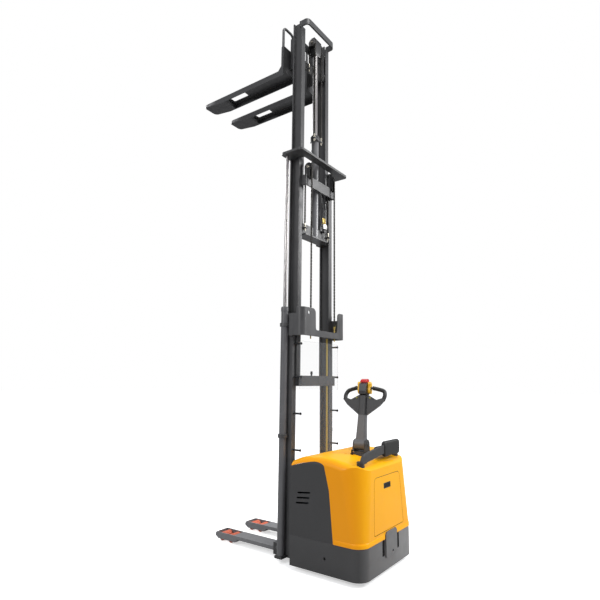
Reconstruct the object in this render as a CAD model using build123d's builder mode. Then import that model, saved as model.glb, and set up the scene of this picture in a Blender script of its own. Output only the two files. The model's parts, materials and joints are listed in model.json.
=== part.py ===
from build123d import *
import os
from math import cos, radians, sin

os.makedirs("parts", exist_ok=True)

# ----------------------------------------------------------------------------
# A pedestrian stacker truck with a three-stage mast, shown fully raised.
# Millimetres, +Z up, +Y towards the fork tips, +X to the operator's right.
# The origin is on the floor, on the centre line, half way along the truck.
# ----------------------------------------------------------------------------

# Chassis
total_length = 2100.0
coupling_depth = 10.0
rear_y = -total_length / 2 + coupling_depth
chassis_length = 660.0
front_y = rear_y + chassis_length
half_width = 430.0
ground_gap = 36.0
skirt_top = 260.0
skirt_wall = 10.0
corner_low = 100.0
corner_high = 200.0
rear_lean = 20.0
hood_wall = 6.0
hood_seam = 0.5
plate = 12.0

# Mast rails, as distances from the centre line and rear faces along Y
rail_depth = 110.0
rail_flange = 13.0
outer_rail = (262.0, 317.0)
outer_web = 12.0
middle_rail = (222.5, 277.5)
inner_rail = (182.5, 237.5)
inner_web = 10.0
outer_rail_y = -293.0
middle_rail_y = -310.0
outer_roller_y = outer_rail_y + rail_depth / 2
middle_roller_y = middle_rail_y + rail_depth / 2
roller_radius = 41.5
stub_radius = 15.0
running_gap = 0.05

# Heights with the mast fully raised, and the travel of each stage
outer_bottom, outer_top = 56.0, 2040.0
middle_bottom, middle_top = 1410.0, 3535.0
inner_bottom, inner_top = 2790.0, 5020.0
stage_travel = 1345.0
rod_travel = 873.5
rod_bottom, rod_top = 1600.0, middle_top

# Forks and support legs
fork_inner, fork_outer = 110.0, 290.0
fork_heel_y = -100.0
fork_top, fork_bottom = 4525.0, 4465.0
fork_wall = 8.0
leg_inner, leg_outer = 128.0, 268.0
leg_top = 76.0
leg_tip_y = 620.0
load_roller_radius = 36.0
load_roller_ys = (440.0, 550.0)
base_front_y = -120.0

# Lift cylinders
side_cylinder = (350.0, -225.0)
free_cylinder_y = -290.0
crosshead_z = 4880.0
chain_sheave_z = 3450.0
chain_sheave_y = -358.0
chain_x = 193.0
carriage_chain_x = 58.0
chain_pitch_radius = 38.0

barrel_radius, barrel_bore, barrel_top = 31.0, 25.0, 2100.0
rod_radius = 15.0
free_barrel_radius = 39.0
pipe_at = (165.0, -330.0)

# Steering
steer_y = -788.0
rest_turn = 95.0
rest_lean = 9.0
tilt_z = 935.0
wheel_radius = 115.0
swivel_plate = (350.0, 362.0)

steer_frame = Plane(
    origin=(0, steer_y, 0),
    x_dir=(cos(radians(rest_turn)), sin(radians(rest_turn)), 0),
    z_dir=(0, 0, 1),
)
tiller_frame = Plane(
    steer_frame.location
    * Location((0, 0, tilt_z))
    * Location((0, 0, 0), (rest_lean, 0, 0))
)


def in_frame(frame, local):
    """A local plane carried into a turned or tilted frame."""
    return Plane(frame.location * local.location)


def beam_x(y_range, z_range, x_range, mode=Mode.ADD):
    """A block given by its ranges along Y, Z and X."""
    size = (x_range[1] - x_range[0], y_range[1] - y_range[0], z_range[1] - z_range[0])
    middle = ((x_range[0] + x_range[1]) / 2, (y_range[0] + y_range[1]) / 2)
    with Locations((middle[0], middle[1], z_range[0])):
        Box(*size, align=(Align.CENTER, Align.CENTER, Align.MIN), mode=mode)


def both_sides(y_range, z_range, x_range, mode=Mode.ADD):
    """The same block on the right and on the left."""
    beam_x(y_range, z_range, x_range, mode)
    beam_x(y_range, z_range, (-x_range[1], -x_range[0]), mode)


def across(radius, x_range, y, z, mode=Mode.ADD):
    """A round bar along X."""
    with BuildSketch(Plane.YZ.offset(x_range[0])) as disc:
        with Locations((y, z)):
            Circle(radius)
    extrude(disc.sketch, amount=x_range[1] - x_range[0], mode=mode)


def across_both(radius, x_range, y, z, mode=Mode.ADD):
    """A round bar along X on the right and on the left."""
    across(radius, x_range, y, z, mode)
    across(radius, (-x_range[1], -x_range[0]), y, z, mode)


def upright(radius, x, y, z_range, mode=Mode.ADD):
    """A round bar along Z."""
    with Locations((x, y, z_range[0])):
        Cylinder(
            radius,
            z_range[1] - z_range[0],
            align=(Align.CENTER, Align.CENTER, Align.MIN),
            mode=mode,
        )


def u_plate(half, back, front, wall, radius, z_range):
    """A flat bar bent to a U in plan, open to the front."""
    for inset, mode in ((0, Mode.ADD), (wall, Mode.SUBTRACT)):
        with BuildSketch(Plane.XY.offset(z_range[0])) as outline:
            with Locations((0, (back + inset + front) / 2)):
                Rectangle(2 * (half - inset), front - back - inset)
            fillet(outline.vertices().group_by(Axis.Y)[0], radius=radius - inset)
        extrude(outline.sketch, amount=z_range[1] - z_range[0], mode=mode)


def save(piece, name):
    """Label a finished piece and write it."""
    piece.part.label = name
    export_step(piece.part, f"parts/{name}.step")


# ---- Chassis frame ---------------------------------------------------------
frame_half = half_width - skirt_wall
bulkhead = (front_y - 20, front_y - 20 + plate)
frame_rear = -990.0
caster_x = 300.0
caster_y = -880.0
caster_shelf = (180.0, 192.0)
caster_stem = 12.0
arm_pivots = ((-312.0, -960.0), (320.0, -935.0))
arm_pin_radius = 10.0
arm_base = (790.0, 826.0)
arm_foot_top = 850.0

with BuildPart() as chassis_frame:
    beam_x(bulkhead, (outer_bottom, 780), (-frame_half, frame_half))
    beam_x((bulkhead[0], base_front_y), (ground_gap, outer_bottom), (-317, 317))
    both_sides((-820, bulkhead[0]), (150, swivel_plate[1]), (frame_half - plate, frame_half))
    both_sides((-820, bulkhead[0]), (150, 400), (frame_half - plate, frame_half))
    beam_x((-640, bulkhead[0]), (150, 162), (-frame_half, frame_half))
    beam_x((frame_rear, -640), swivel_plate, (-frame_half + 60, frame_half - 60))
    beam_x((-820, -640), swivel_plate, (-frame_half, frame_half))
    both_sides((frame_rear, -640), caster_shelf, (200, frame_half - 60))
    both_sides((-820, -640), caster_shelf, (200, frame_half))
    beam_x((frame_rear, frame_rear + plate), (180, swivel_plate[1]), (-360, 360))
    both_sides((frame_rear, -640), (180, swivel_plate[1]), (200, 200 + plate))
    both_sides((-160, base_front_y), (outer_bottom, 128), (leg_inner, leg_outer + 49))
    both_sides((bulkhead[1], -300), (outer_bottom, 700), (330, 342))
    both_sides((-262, -188), (ground_gap, outer_bottom), (300, 385))
    upright(120 + running_gap, 0, steer_y, swivel_plate, Mode.SUBTRACT)
    for x, y in arm_pivots:
        upright(12, x, y, (swivel_plate[0], arm_base[0]))
        upright(29.9, x, y, arm_base)
        upright(arm_pin_radius, x, y, (arm_base[1], arm_foot_top))
    for side in (-1, 1):
        upright(caster_stem + running_gap, side * caster_x, caster_y, caster_shelf, Mode.SUBTRACT)
    with BuildSketch(Plane.XZ.offset(-bulkhead[0])):
        with Locations((0, 480)):
            RectangleRounded(300, 260, 40)
    extrude(amount=-plate, mode=Mode.SUBTRACT)
save(chassis_frame, "chassis_frame")


# ---- Hood ------------------------------------------------------------------
hood_stations = (
    (front_y + 20, 814.0),
    (front_y - 90, 850.0),
    (front_y - 190, 866.0),
    (front_y - 310, 868.0),
    (front_y - 430, 852.0),
    (front_y - 540, 830.0),
    (rear_y + 52, 808.0),
    (rear_y + 16, 784.0),
    (rear_y - 20, 730.0),
)
shoulder = (76.0, 58.0)


def roof_section(y, top, inset):
    """What is cut away above the hood at one station: its lower edge is the roof line."""
    edge = half_width - inset
    roof = top - inset
    with BuildSketch(Plane.XZ.offset(-y)) as section:
        with BuildLine():
            for side in (-1, 1):
                Line((side * (edge + 60), roof - 200), (side * edge, roof - shoulder[1]))
                ThreePointArc(
                    (side * edge, roof - shoulder[1]),
                    (side * (edge - 22), roof - 17),
                    (side * (edge - shoulder[0]), roof),
                )
                Line((side * (edge + 60), roof - 200), (side * (edge + 60), 1000))
            Line((-edge + shoulder[0], roof), (edge - shoulder[0], roof))
            Line((-edge - 60, 1000), (edge + 60, 1000))
        make_face()
    return section.sketch


def hood_body(inset):
    """The closed form of the hood, smaller by inset on every outer side."""
    back = rear_y + inset
    edge = half_width - inset
    with BuildPart() as form:
        for z, radius, lean in ((skirt_top, corner_low, 0), (900, corner_high, rear_lean)):
            with BuildSketch(Plane.XY.offset(z)) as plan:
                with Locations((0, (back + lean + front_y) / 2)):
                    Rectangle(2 * edge, front_y - back - lean)
                fillet(plan.vertices().group_by(Axis.Y)[0], radius=radius - inset)
        loft()
        cutter = [roof_section(y, top, inset) for y, top in hood_stations]
        loft(cutter, mode=Mode.SUBTRACT)
    return form.part


hood_hole_radius = 76.0
panel_top = ((front_y, 779), (front_y - 177, 824), (front_y - 275, 829))
panel_rear = ((front_y - 325, 803), (front_y - 370, 631), (front_y - 406, skirt_top + 2))
door_low, door_high = 312.0, 722.0
door_half = (252.0, 222.0)
door_gap = 4.0
stop_button = (100.0, -665.0)
key_switch = (-99.0, -757.0)
rear_slope = rear_lean / (900 - skirt_top)
rear_face = Plane(
    origin=(0, rear_y - skirt_top * rear_slope, 0), x_dir=(1, 0, 0), z_dir=(0, -1, rear_slope)
)


def panel_face(gap):
    """Outline of a side panel in the YZ plane, smaller by gap."""
    top = [(y, z - gap) for y, z in panel_top]
    rear = [(y + gap, z) for y, z in panel_rear]
    with BuildSketch(Plane.YZ) as face:
        with BuildLine():
            Spline(*top, rear[0], tangents=((-1, 0.35), (-0.45, -1)))
            Polyline(*rear, (rear[-1][0], skirt_top + gap), (front_y, skirt_top + gap), top[0])
        make_face()
    return face.sketch


def door_face(gap):
    """Outline of the rear door on the leaning rear face, smaller by gap."""
    with BuildSketch(rear_face) as face:
        with BuildLine():
            Polyline(
                (-door_half[0], door_low),
                (door_half[0], door_low),
                (door_half[1], door_high),
                (-door_half[1], door_high),
                close=True,
            )
        make_face()
        fillet(vertices().group_by(Axis.Y)[-1], radius=46)
        fillet(vertices().group_by(Axis.Y)[0], radius=12)
        if gap:
            offset(amount=-gap)
    return face.sketch


def vent_slots():
    """Three slots one above the other, cut through the left side panel."""
    for row in range(3):
        middle = (front_y - 132 + 7 * row, 589 - 39 * row)
        with BuildSketch(Plane.YZ.offset(-half_width - 1)) as vent:
            with Locations(Location(middle, -6)):
                SlotOverall(126, 13)
        extrude(vent.sketch, amount=hood_wall + 4, mode=Mode.SUBTRACT)


outer_form = hood_body(0)
inner_form = hood_body(hood_wall)

with BuildPart() as side_panels:
    extrude(panel_face(hood_seam), amount=-half_width)
    loft([roof_section(y, top, 0) for y, top in hood_stations], mode=Mode.SUBTRACT)
    beam_x((-900, -300), (200, 900), (-half_width + hood_wall, 1), Mode.SUBTRACT)
    vent_slots()
    mirror(about=Plane.YZ)
save(side_panels, "side_panels")

with BuildPart() as hood:
    add(outer_form)
    add(inner_form, mode=Mode.SUBTRACT)
    extrude(panel_face(0), amount=-half_width - 1, mode=Mode.SUBTRACT)
    extrude(panel_face(0), amount=half_width + 1, mode=Mode.SUBTRACT)
    extrude(door_face(0), amount=20, both=True, mode=Mode.SUBTRACT)
    upright(hood_hole_radius, 0, steer_y, (780, 900), Mode.SUBTRACT)
    upright(15, *stop_button, (780, 900), Mode.SUBTRACT)
    upright(13, *key_switch, (780, 900), Mode.SUBTRACT)
    for x, y in arm_pivots:
        upright(30, x, y, (760, 900), Mode.SUBTRACT)
    with BuildSketch(Plane.XY.offset(800)):
        with Locations((-128, -713)):
            SlotOverall(34, 6)
    extrude(amount=100, mode=Mode.SUBTRACT)
save(hood, "hood")

with BuildPart() as rear_door:
    extrude(door_face(door_gap), amount=-hood_wall)
    with BuildSketch(rear_face):
        with Locations((-10, 643)):
            RectangleRounded(118, 42, 4)
    extrude(amount=-hood_wall, mode=Mode.SUBTRACT)
save(rear_door, "rear_door")


# ---- Skirt -----------------------------------------------------------------
with BuildPart() as skirt:
    u_plate(half_width, rear_y, front_y, skirt_wall, corner_low, (ground_gap, skirt_top))
    with BuildSketch(Plane.XZ.offset(-rear_y - 20)):
        with Locations((-112, 200), (137, 200)):
            RectangleRounded(38, 116, 12)
    extrude(amount=40, mode=Mode.SUBTRACT)
    with BuildSketch(Plane.YZ.offset(-half_width - 5)):
        with Locations((front_y - 330, 146)):
            Circle(11)
    extrude(amount=30, mode=Mode.SUBTRACT)
save(skirt, "skirt")

with BuildPart() as coupling_plate:
    with BuildSketch(Plane.XZ.offset(-rear_y)):
        with Locations((12, 218)):
            Rectangle(190, 182)
        chamfer(vertices().group_by(Axis.Y)[-1], length=20)
        with Locations((32, 152)):
            Circle(10, mode=Mode.SUBTRACT)
    extrude(amount=coupling_depth)
save(coupling_plate, "coupling_plate")


# ---- Outer mast stage, fixed to the chassis --------------------------------
beam_low, beam_middle_top, beam_side_top, beam_top = 1845.0, 1902.0, 2040.0, 2094.0
beam_plate = 10.0
beam_back = -421.0
beam_half = 345.0
outer_roller_z = 1990.0
middle_foot_roller_z = middle_bottom + 48
middle_head_roller_z = middle_top - 52
inner_foot_roller_z = inner_bottom + 50
outer_roller_x = (257.0, 277.0)
middle_foot_roller_x = (279.5, 303.5)
middle_head_roller_x = (216.5, 236.5)
inner_foot_roller_x = (224.5, 243.5)
carriage_roller_x = (184.5, 203.5)


def rail_section(x_range, y, web, web_x):
    """A pair of rails in plan: two flanges joined by a web at web_x."""
    middle = (x_range[0] + x_range[1]) / 2
    width = x_range[1] - x_range[0]
    for side in (-1, 1):
        with Locations(
            (side * middle, y + rail_flange / 2),
            (side * middle, y + rail_depth - rail_flange / 2),
        ):
            Rectangle(width, rail_flange)
        with Locations((side * web_x, y + rail_depth / 2)):
            Rectangle(web, rail_depth)


with BuildPart() as mast_outer:
    with BuildSketch(Plane.XY.offset(outer_bottom)):
        rail_section(outer_rail, outer_rail_y, outer_web, outer_rail[1] - outer_web / 2)
    extrude(amount=outer_top - outer_bottom)
    u_plate(beam_half, beam_back, -268, beam_plate, 52, (beam_low, beam_top))
    with BuildSketch(Plane.XZ.offset(-beam_back + 5)):
        with BuildLine():
            Polyline(
                (-beam_half - 5, beam_top + 5),
                (-beam_half - 5, beam_top),
                (-205, beam_top),
                (-150, beam_top),
                (-146, beam_middle_top),
                (206, beam_middle_top),
                (222, beam_top),
                (beam_half - 50, beam_top),
                (beam_half + 5, beam_top),
                (beam_half + 5, beam_top + 5),
                close=True,
            )
        make_face()
        fillet(vertices().sort_by_distance((-150, beam_top))[0], radius=45)
        fillet(vertices().sort_by_distance((222, beam_top))[0], radius=34)
        fillet(vertices().sort_by_distance((-146, beam_middle_top))[0], radius=22)
        fillet(vertices().sort_by_distance((206, beam_middle_top))[0], radius=16)
    extrude(amount=-60, mode=Mode.SUBTRACT)
    both_sides((-350, -260), (beam_side_top, beam_top + 5), (300, 360), Mode.SUBTRACT)
    both_sides((outer_rail_y, -268), (beam_low, beam_side_top), (outer_rail[1] - 4, beam_half - 4))
    both_sides((beam_back + beam_plate, -384), (1880, 1894), (chain_x - 18, chain_x + 18))
    for side in (-1, 1):
        upright(6, side * chain_x, chain_sheave_y - chain_pitch_radius, (1870, 1900), Mode.SUBTRACT)
    both_sides((outer_rail_y - 5, -276), (1935, outer_top + 5), (258, 281), Mode.SUBTRACT)
    across_both(20, (outer_roller_x[1] + 0.5, outer_rail[1] - 6), middle_roller_y, outer_roller_z)
    across_both(stub_radius, (outer_roller_x[0] - 1, outer_rail[1] - 6), middle_roller_y, outer_roller_z)
    with BuildSketch(Plane.XZ.offset(-beam_back + 5)):
        with Locations((-250, 2050)):
            Circle(16)
    extrude(amount=-20, mode=Mode.SUBTRACT)
    beam_x((beam_back + beam_plate, -314), (1850, 1860), (pipe_at[0] - 20, pipe_at[0] + 17))
    upright(8, *pipe_at, (1845, 1865), Mode.SUBTRACT)
    for z in (980, 1925):
        for side in (-1, 1):
            upright(41, side * side_cylinder[0], side_cylinder[1], (z, z + 30))
            upright(barrel_radius, side * side_cylinder[0], side_cylinder[1], (z, z + 30), Mode.SUBTRACT)
save(mast_outer, "mast_outer")

screen_stud_x = 290.0
screen_stud_z = (880.0, 1180.0, 1490.0, 1775.0)

with BuildPart() as mast_guard_screen:
    with BuildSketch(Plane.XZ.offset(366)):
        with Locations((0, 1300)):
            RectangleRounded(604, 1000, 12)
        with Locations(*[(side * screen_stud_x, z) for side in (-1, 1) for z in screen_stud_z]):
            Circle(5, mode=Mode.SUBTRACT)
    extrude(amount=-6)
save(mast_guard_screen, "mast_guard_screen")

with BuildPart() as screen_standoffs:
    for side in (-1, 1):
        for z in screen_stud_z:
            with BuildSketch(Plane.XZ.offset(-outer_rail_y)):
                with Locations((side * screen_stud_x, z)):
                    Circle(8)
            extrude(amount=67)
            with BuildSketch(Plane.XZ.offset(360)):
                with Locations((side * screen_stud_x, z)):
                    Circle(4.9)
            extrude(amount=6)
            with BuildSketch(Plane.XZ.offset(366)):
                with Locations((side * screen_stud_x, z)):
                    Circle(11)
            extrude(amount=5)
save(screen_standoffs, "screen_standoffs")

with BuildPart() as hydraulic_pipe:
    upright(7.9, *pipe_at, (700, 1865))
    upright(12, *pipe_at, (1865, 1885))
save(hydraulic_pipe, "hydraulic_pipe")


# ---- Side lift cylinders ---------------------------------------------------
with BuildPart() as lift_cylinders:
    x, y = side_cylinder
    upright(barrel_radius, x, y, (outer_bottom, barrel_top))
    upright(barrel_radius + 3, x, y, (2060, 2092))
    upright(barrel_bore, x, y, (outer_bottom + 30, 2050), Mode.SUBTRACT)
    upright(rod_radius + running_gap, x, y, (2040, barrel_top + 5), Mode.SUBTRACT)
    beam_x((y + 26, y + 44), (100, 118), (x - 9, x + 9))
    mirror(about=Plane.YZ)
save(lift_cylinders, "lift_cylinders")


# ---- Middle mast stage -----------------------------------------------------
with BuildPart() as mast_middle:
    with BuildSketch(Plane.XY.offset(middle_bottom)):
        rail_section(middle_rail, middle_rail_y, inner_web, 250)
    extrude(amount=middle_top - middle_bottom)
    with BuildSketch(Plane.XY.offset(middle_top)):
        with Locations((0, -302.5)):
            Rectangle(800, 245)
        fillet(vertices(), radius=34)
        with Locations((0, -345 + 100)):
            Rectangle(490, 200, mode=Mode.SUBTRACT)
    extrude(amount=22)
    both_sides((-365, -353), (3260, 3360), (0, 240))
    both_sides((-355, middle_rail_y), (3260, 3360), (228, 240))
    both_sides((-355, -343), (middle_bottom, 1500), (0, 262))
    both_sides((-345, middle_rail_y), (middle_bottom, 1500), (250, 262))
    for offset_x in (-19, 13):
        for side in (-1, 1):
            x = side * chain_x + offset_x
            beam_x((-385, -331), (3330, chain_sheave_z), (x, x + 6))
            across(27, (x, x + 6), chain_sheave_y, chain_sheave_z)
    both_sides((-385, -331), (3330, 3360), (174, 180))
    across_both(10, (174, 212), chain_sheave_y, chain_sheave_z)
    both_sides((-205, -190), (3415, middle_top + 5), (215, 245), Mode.SUBTRACT)
    both_sides((-215, -180), (3415, middle_top), (215, 245), Mode.SUBTRACT)
    across_both(stub_radius, (middle_head_roller_x[0] - 1, 250), outer_roller_y, middle_head_roller_z)
    across_both(20, (middle_head_roller_x[1] + 0.5, 250), outer_roller_y, middle_head_roller_z)
    across_both(stub_radius, (250, middle_foot_roller_x[1] + 1), outer_roller_y, middle_foot_roller_z)
    across_both(20, (250, middle_foot_roller_x[0] - 0.5), outer_roller_y, middle_foot_roller_z)
save(mast_middle, "mast_middle")

with BuildPart() as lift_rods:
    for side in (-1, 1):
        upright(rod_radius, side * side_cylinder[0], side_cylinder[1], (rod_bottom, rod_top))
        upright(24.9, side * side_cylinder[0], side_cylinder[1], (rod_bottom, rod_bottom + 40))
save(lift_rods, "lift_rods")


# ---- Inner mast stage ------------------------------------------------------
gland_z = 3864.0
with BuildPart() as mast_inner:
    with BuildSketch(Plane.XY.offset(inner_bottom)):
        rail_section(inner_rail, outer_rail_y, inner_web, 210)
    extrude(amount=inner_top - inner_bottom)
    u_plate(240, -368, -262, 16, 44, (4958, inner_top))
    beam_x((-305, outer_rail_y), (inner_bottom, 2902), (-216, 216))
    beam_x((-340, -215), (inner_bottom, 2805), (-205, 205))
    upright(free_barrel_radius, 0, free_cylinder_y, (2805, 2910), Mode.SUBTRACT)
    beam_x((-341, -314), (2780, 2810), (pipe_at[0] - 16, pipe_at[0] + 16), Mode.SUBTRACT)
    both_sides((outer_rail_y - 1, -280), (2780, 2893), (223, 238), Mode.SUBTRACT)
    both_sides((-380, -280), (4950, inner_top + 5), (239, 245), Mode.SUBTRACT)
    both_sides((-340, -300), (2850, 2864), (chain_x - 12, chain_x + 12))
    for side in (-1, 1):
        upright(5, side * chain_x, chain_sheave_y + chain_pitch_radius, (2840, 2870), Mode.SUBTRACT)
    across_both(stub_radius, (210, inner_foot_roller_x[1] + 0.5), middle_roller_y, inner_foot_roller_z)
    across_both(19, (210, inner_foot_roller_x[0] - 0.5), middle_roller_y, inner_foot_roller_z)
save(mast_inner, "mast_inner")


def chain_bolt(x, y, low, high, ledge, rod, nut):
    """A threaded chain bolt through a ledge: rod, clevis head and a nut each side."""
    upright(rod, x, y, (low, high - 20))
    upright(rod + 3, x, y, (high - 20, high))
    for z in (ledge[0] - 11, ledge[1]):
        with BuildSketch(Plane.XY.offset(z)) as hexagon:
            with Locations((x, y)):
                RegularPolygon(nut, 6)
        extrude(hexagon.sketch, amount=11)


with BuildPart() as chain_bolts_outer:
    for side in (-1, 1):
        chain_bolt(side * chain_x, chain_sheave_y - chain_pitch_radius, 1822, 1962, (1880, 1894), 6, 10.5)
save(chain_bolts_outer, "chain_bolts_outer")

with BuildPart() as chain_bolts_inner:
    for side in (-1, 1):
        chain_bolt(side * chain_x, chain_sheave_y + chain_pitch_radius, 2826, 2903, (2850, 2864), 5, 9)
        chain_bolt(side * carriage_chain_x, free_cylinder_y - 36, 3786, 3862, (3810, 3824), 5, 9)
save(chain_bolts_inner, "chain_bolts_inner")

with BuildPart() as free_lift_barrel:
    upright(free_barrel_radius, 0, free_cylinder_y, (2805, gland_z))
    upright(free_barrel_radius + 8, 0, free_cylinder_y, (3800, 3850))
    beam_x((-338, -300), (3810, 3824), (-70, 70))
    for side in (-1, 1):
        upright(5, side * carriage_chain_x, free_cylinder_y - 36, (3800, 3830), Mode.SUBTRACT)
    upright(free_barrel_radius - 6, 0, free_cylinder_y, (2825, 3790), Mode.SUBTRACT)
    upright(25 + running_gap, 0, free_cylinder_y, (3780, gland_z + 5), Mode.SUBTRACT)
save(free_lift_barrel, "free_lift_barrel")

with BuildPart() as lift_valve:
    beam_x((-341, -305), (2925, 2972), (88, 148))
    upright(16, 108, -323, (2893, 2925))
    for x in (104, 132):
        upright(9, x, -323, (2972, 2984))
        with BuildSketch(Plane.XY.offset(2984)):
            with Locations((x, -323)):
                RegularPolygon(10, 6)
        extrude(amount=14)
        upright(6, x, -323, (2998, 3030))
    beam_x((-305, outer_rail_y), (2902, 2972), (100, 140))
save(lift_valve, "lift_valve")


# ---- Free-lift rod and crosshead -------------------------------------------
with BuildPart() as free_lift_rod:
    upright(25, 0, free_cylinder_y, (3700, 4756))
    upright(free_barrel_radius - 6.5, 0, free_cylinder_y, (3700, 3740))
    with BuildSketch(Plane.YZ.offset(-47)):
        with BuildLine():
            Polyline(
                (free_cylinder_y - 26, 4756),
                (free_cylinder_y + 26, 4756),
                (free_cylinder_y + 40, 4800),
                (free_cylinder_y + 40, 4915),
                (free_cylinder_y + 18, 4947),
                (free_cylinder_y - 18, 4947),
                (free_cylinder_y - 40, 4915),
                (free_cylinder_y - 40, 4800),
                close=True,
            )
        make_face()
    extrude(amount=94)
    across(12, (-72, 72), free_cylinder_y, crosshead_z)
save(free_lift_rod, "free_lift_rod")


def sheave(x_middle, y, z, root, rim, bore, width):
    """A chain sheave that turns about X: a root drum between two rims."""
    across(root, (x_middle - width / 2 - 2.5, x_middle + width / 2 + 2.5), y, z)
    across(rim, (x_middle - width / 2 - 2.5, x_middle - width / 2), y, z)
    across(rim, (x_middle + width / 2, x_middle + width / 2 + 2.5), y, z)
    across(bore, (x_middle - width, x_middle + width), y, z, Mode.SUBTRACT)


with BuildPart() as mast_sheaves:
    for side in (-1, 1):
        sheave(side * chain_x, chain_sheave_y, chain_sheave_z, 32.5, 42, 10 + running_gap, 16.8)
save(mast_sheaves, "mast_sheaves")

with BuildPart() as crosshead_sheaves:
    for side in (-1, 1):
        sheave(side * carriage_chain_x, free_cylinder_y, crosshead_z, 30.5, 40, 12 + running_gap, 14.8)
save(crosshead_sheaves, "crosshead_sheaves")


# ---- Mast rollers ----------------------------------------------------------
def roller_pair(x_range, y, z):
    """Two mast rollers on one line, each with a bore for its own stub."""
    with BuildPart() as pair:
        across_both(roller_radius, x_range, y, z)
        chamfer(pair.edges().filter_by(GeomType.CIRCLE), length=1.5)
        across_both(stub_radius + running_gap, (x_range[0] - 2, x_range[1] + 2), y, z, Mode.SUBTRACT)
    return pair


carriage_low_roller_z, carriage_high_roller_z = 4640.0, 4862.0
rollers = {
    "rollers_outer_head": (outer_roller_x, middle_roller_y, outer_roller_z),
    "rollers_middle_foot": (middle_foot_roller_x, outer_roller_y, middle_foot_roller_z),
    "rollers_middle_head": (middle_head_roller_x, outer_roller_y, middle_head_roller_z),
    "rollers_inner_foot": (inner_foot_roller_x, middle_roller_y, inner_foot_roller_z),
    "rollers_carriage_low": (carriage_roller_x, outer_roller_y, carriage_low_roller_z),
    "rollers_carriage_high": (carriage_roller_x, outer_roller_y, carriage_high_roller_z),
}
for name, place in rollers.items():
    save(roller_pair(*place), name)


# ---- Lift chains -----------------------------------------------------------
def chain_strands(x, y, width, z_range):
    """One straight strand of leaf chain on each side; it runs on to its sheave."""
    with BuildPart() as strands:
        depth = (y - chain_thickness / 2, y + chain_thickness / 2)
        both_sides(depth, z_range, (x - width / 2, x + width / 2))
    return strands


chain_thickness = 10.0
mast_chain_width, carriage_chain_width = 16.0, 14.0
strands = {
    "mast_chains_rear": (chain_x, chain_sheave_y - 38, mast_chain_width, (1962, chain_sheave_z)),
    "mast_chains_front": (chain_x, chain_sheave_y + 38, mast_chain_width, (2903, chain_sheave_z)),
    "carriage_chains_rear": (
        carriage_chain_x,
        free_cylinder_y - 36,
        carriage_chain_width,
        (3862, crosshead_z),
    ),
    "carriage_chains_front": (
        carriage_chain_x,
        free_cylinder_y + 36,
        carriage_chain_width,
        (4650, crosshead_z),
    ),
}
for name, place in strands.items():
    save(chain_strands(*place), name)


# ---- Carriage, forks and load backrests ------------------------------------
with BuildPart() as carriage:
    both_sides((-275, fork_heel_y), (4582, 4930), (158, 176))
    both_sides((-280, -180), (4575, 4935), (150, 157.9), Mode.SUBTRACT)
    beam_x((-230, -212), (4590, 4680), (-176, 176))
    beam_x((-230, -212), (4800, 4880), (-176, 176))
    both_sides((-266, -230), (4596, 4610), (46, 70))
    for side in (-1, 1):
        upright(5, side * carriage_chain_x, free_cylinder_y + 36, (4590, 4615), Mode.SUBTRACT)
    both_sides((-275, -240), (4893, 4935), (150, 180), Mode.SUBTRACT)
    for z in (carriage_low_roller_z, carriage_high_roller_z):
        across_both(19, (176, carriage_roller_x[0] - 0.5), outer_roller_y, z)
        across_both(stub_radius, (176, carriage_roller_x[1] + 0.5), outer_roller_y, z)
save(carriage, "carriage")

with BuildPart() as chain_bolts_carriage:
    for side in (-1, 1):
        chain_bolt(side * carriage_chain_x, free_cylinder_y + 36, 4572, 4650, (4596, 4610), 5, 8.5)
save(chain_bolts_carriage, "chain_bolts_carriage")

fork_tip_y = total_length / 2
fork_middle = (fork_inner + fork_outer) / 2
fork_width = fork_outer - fork_inner
fork_channel_end = 720.0
backrest_radius = 13.0
backrest_top = inner_top - backrest_radius

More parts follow.
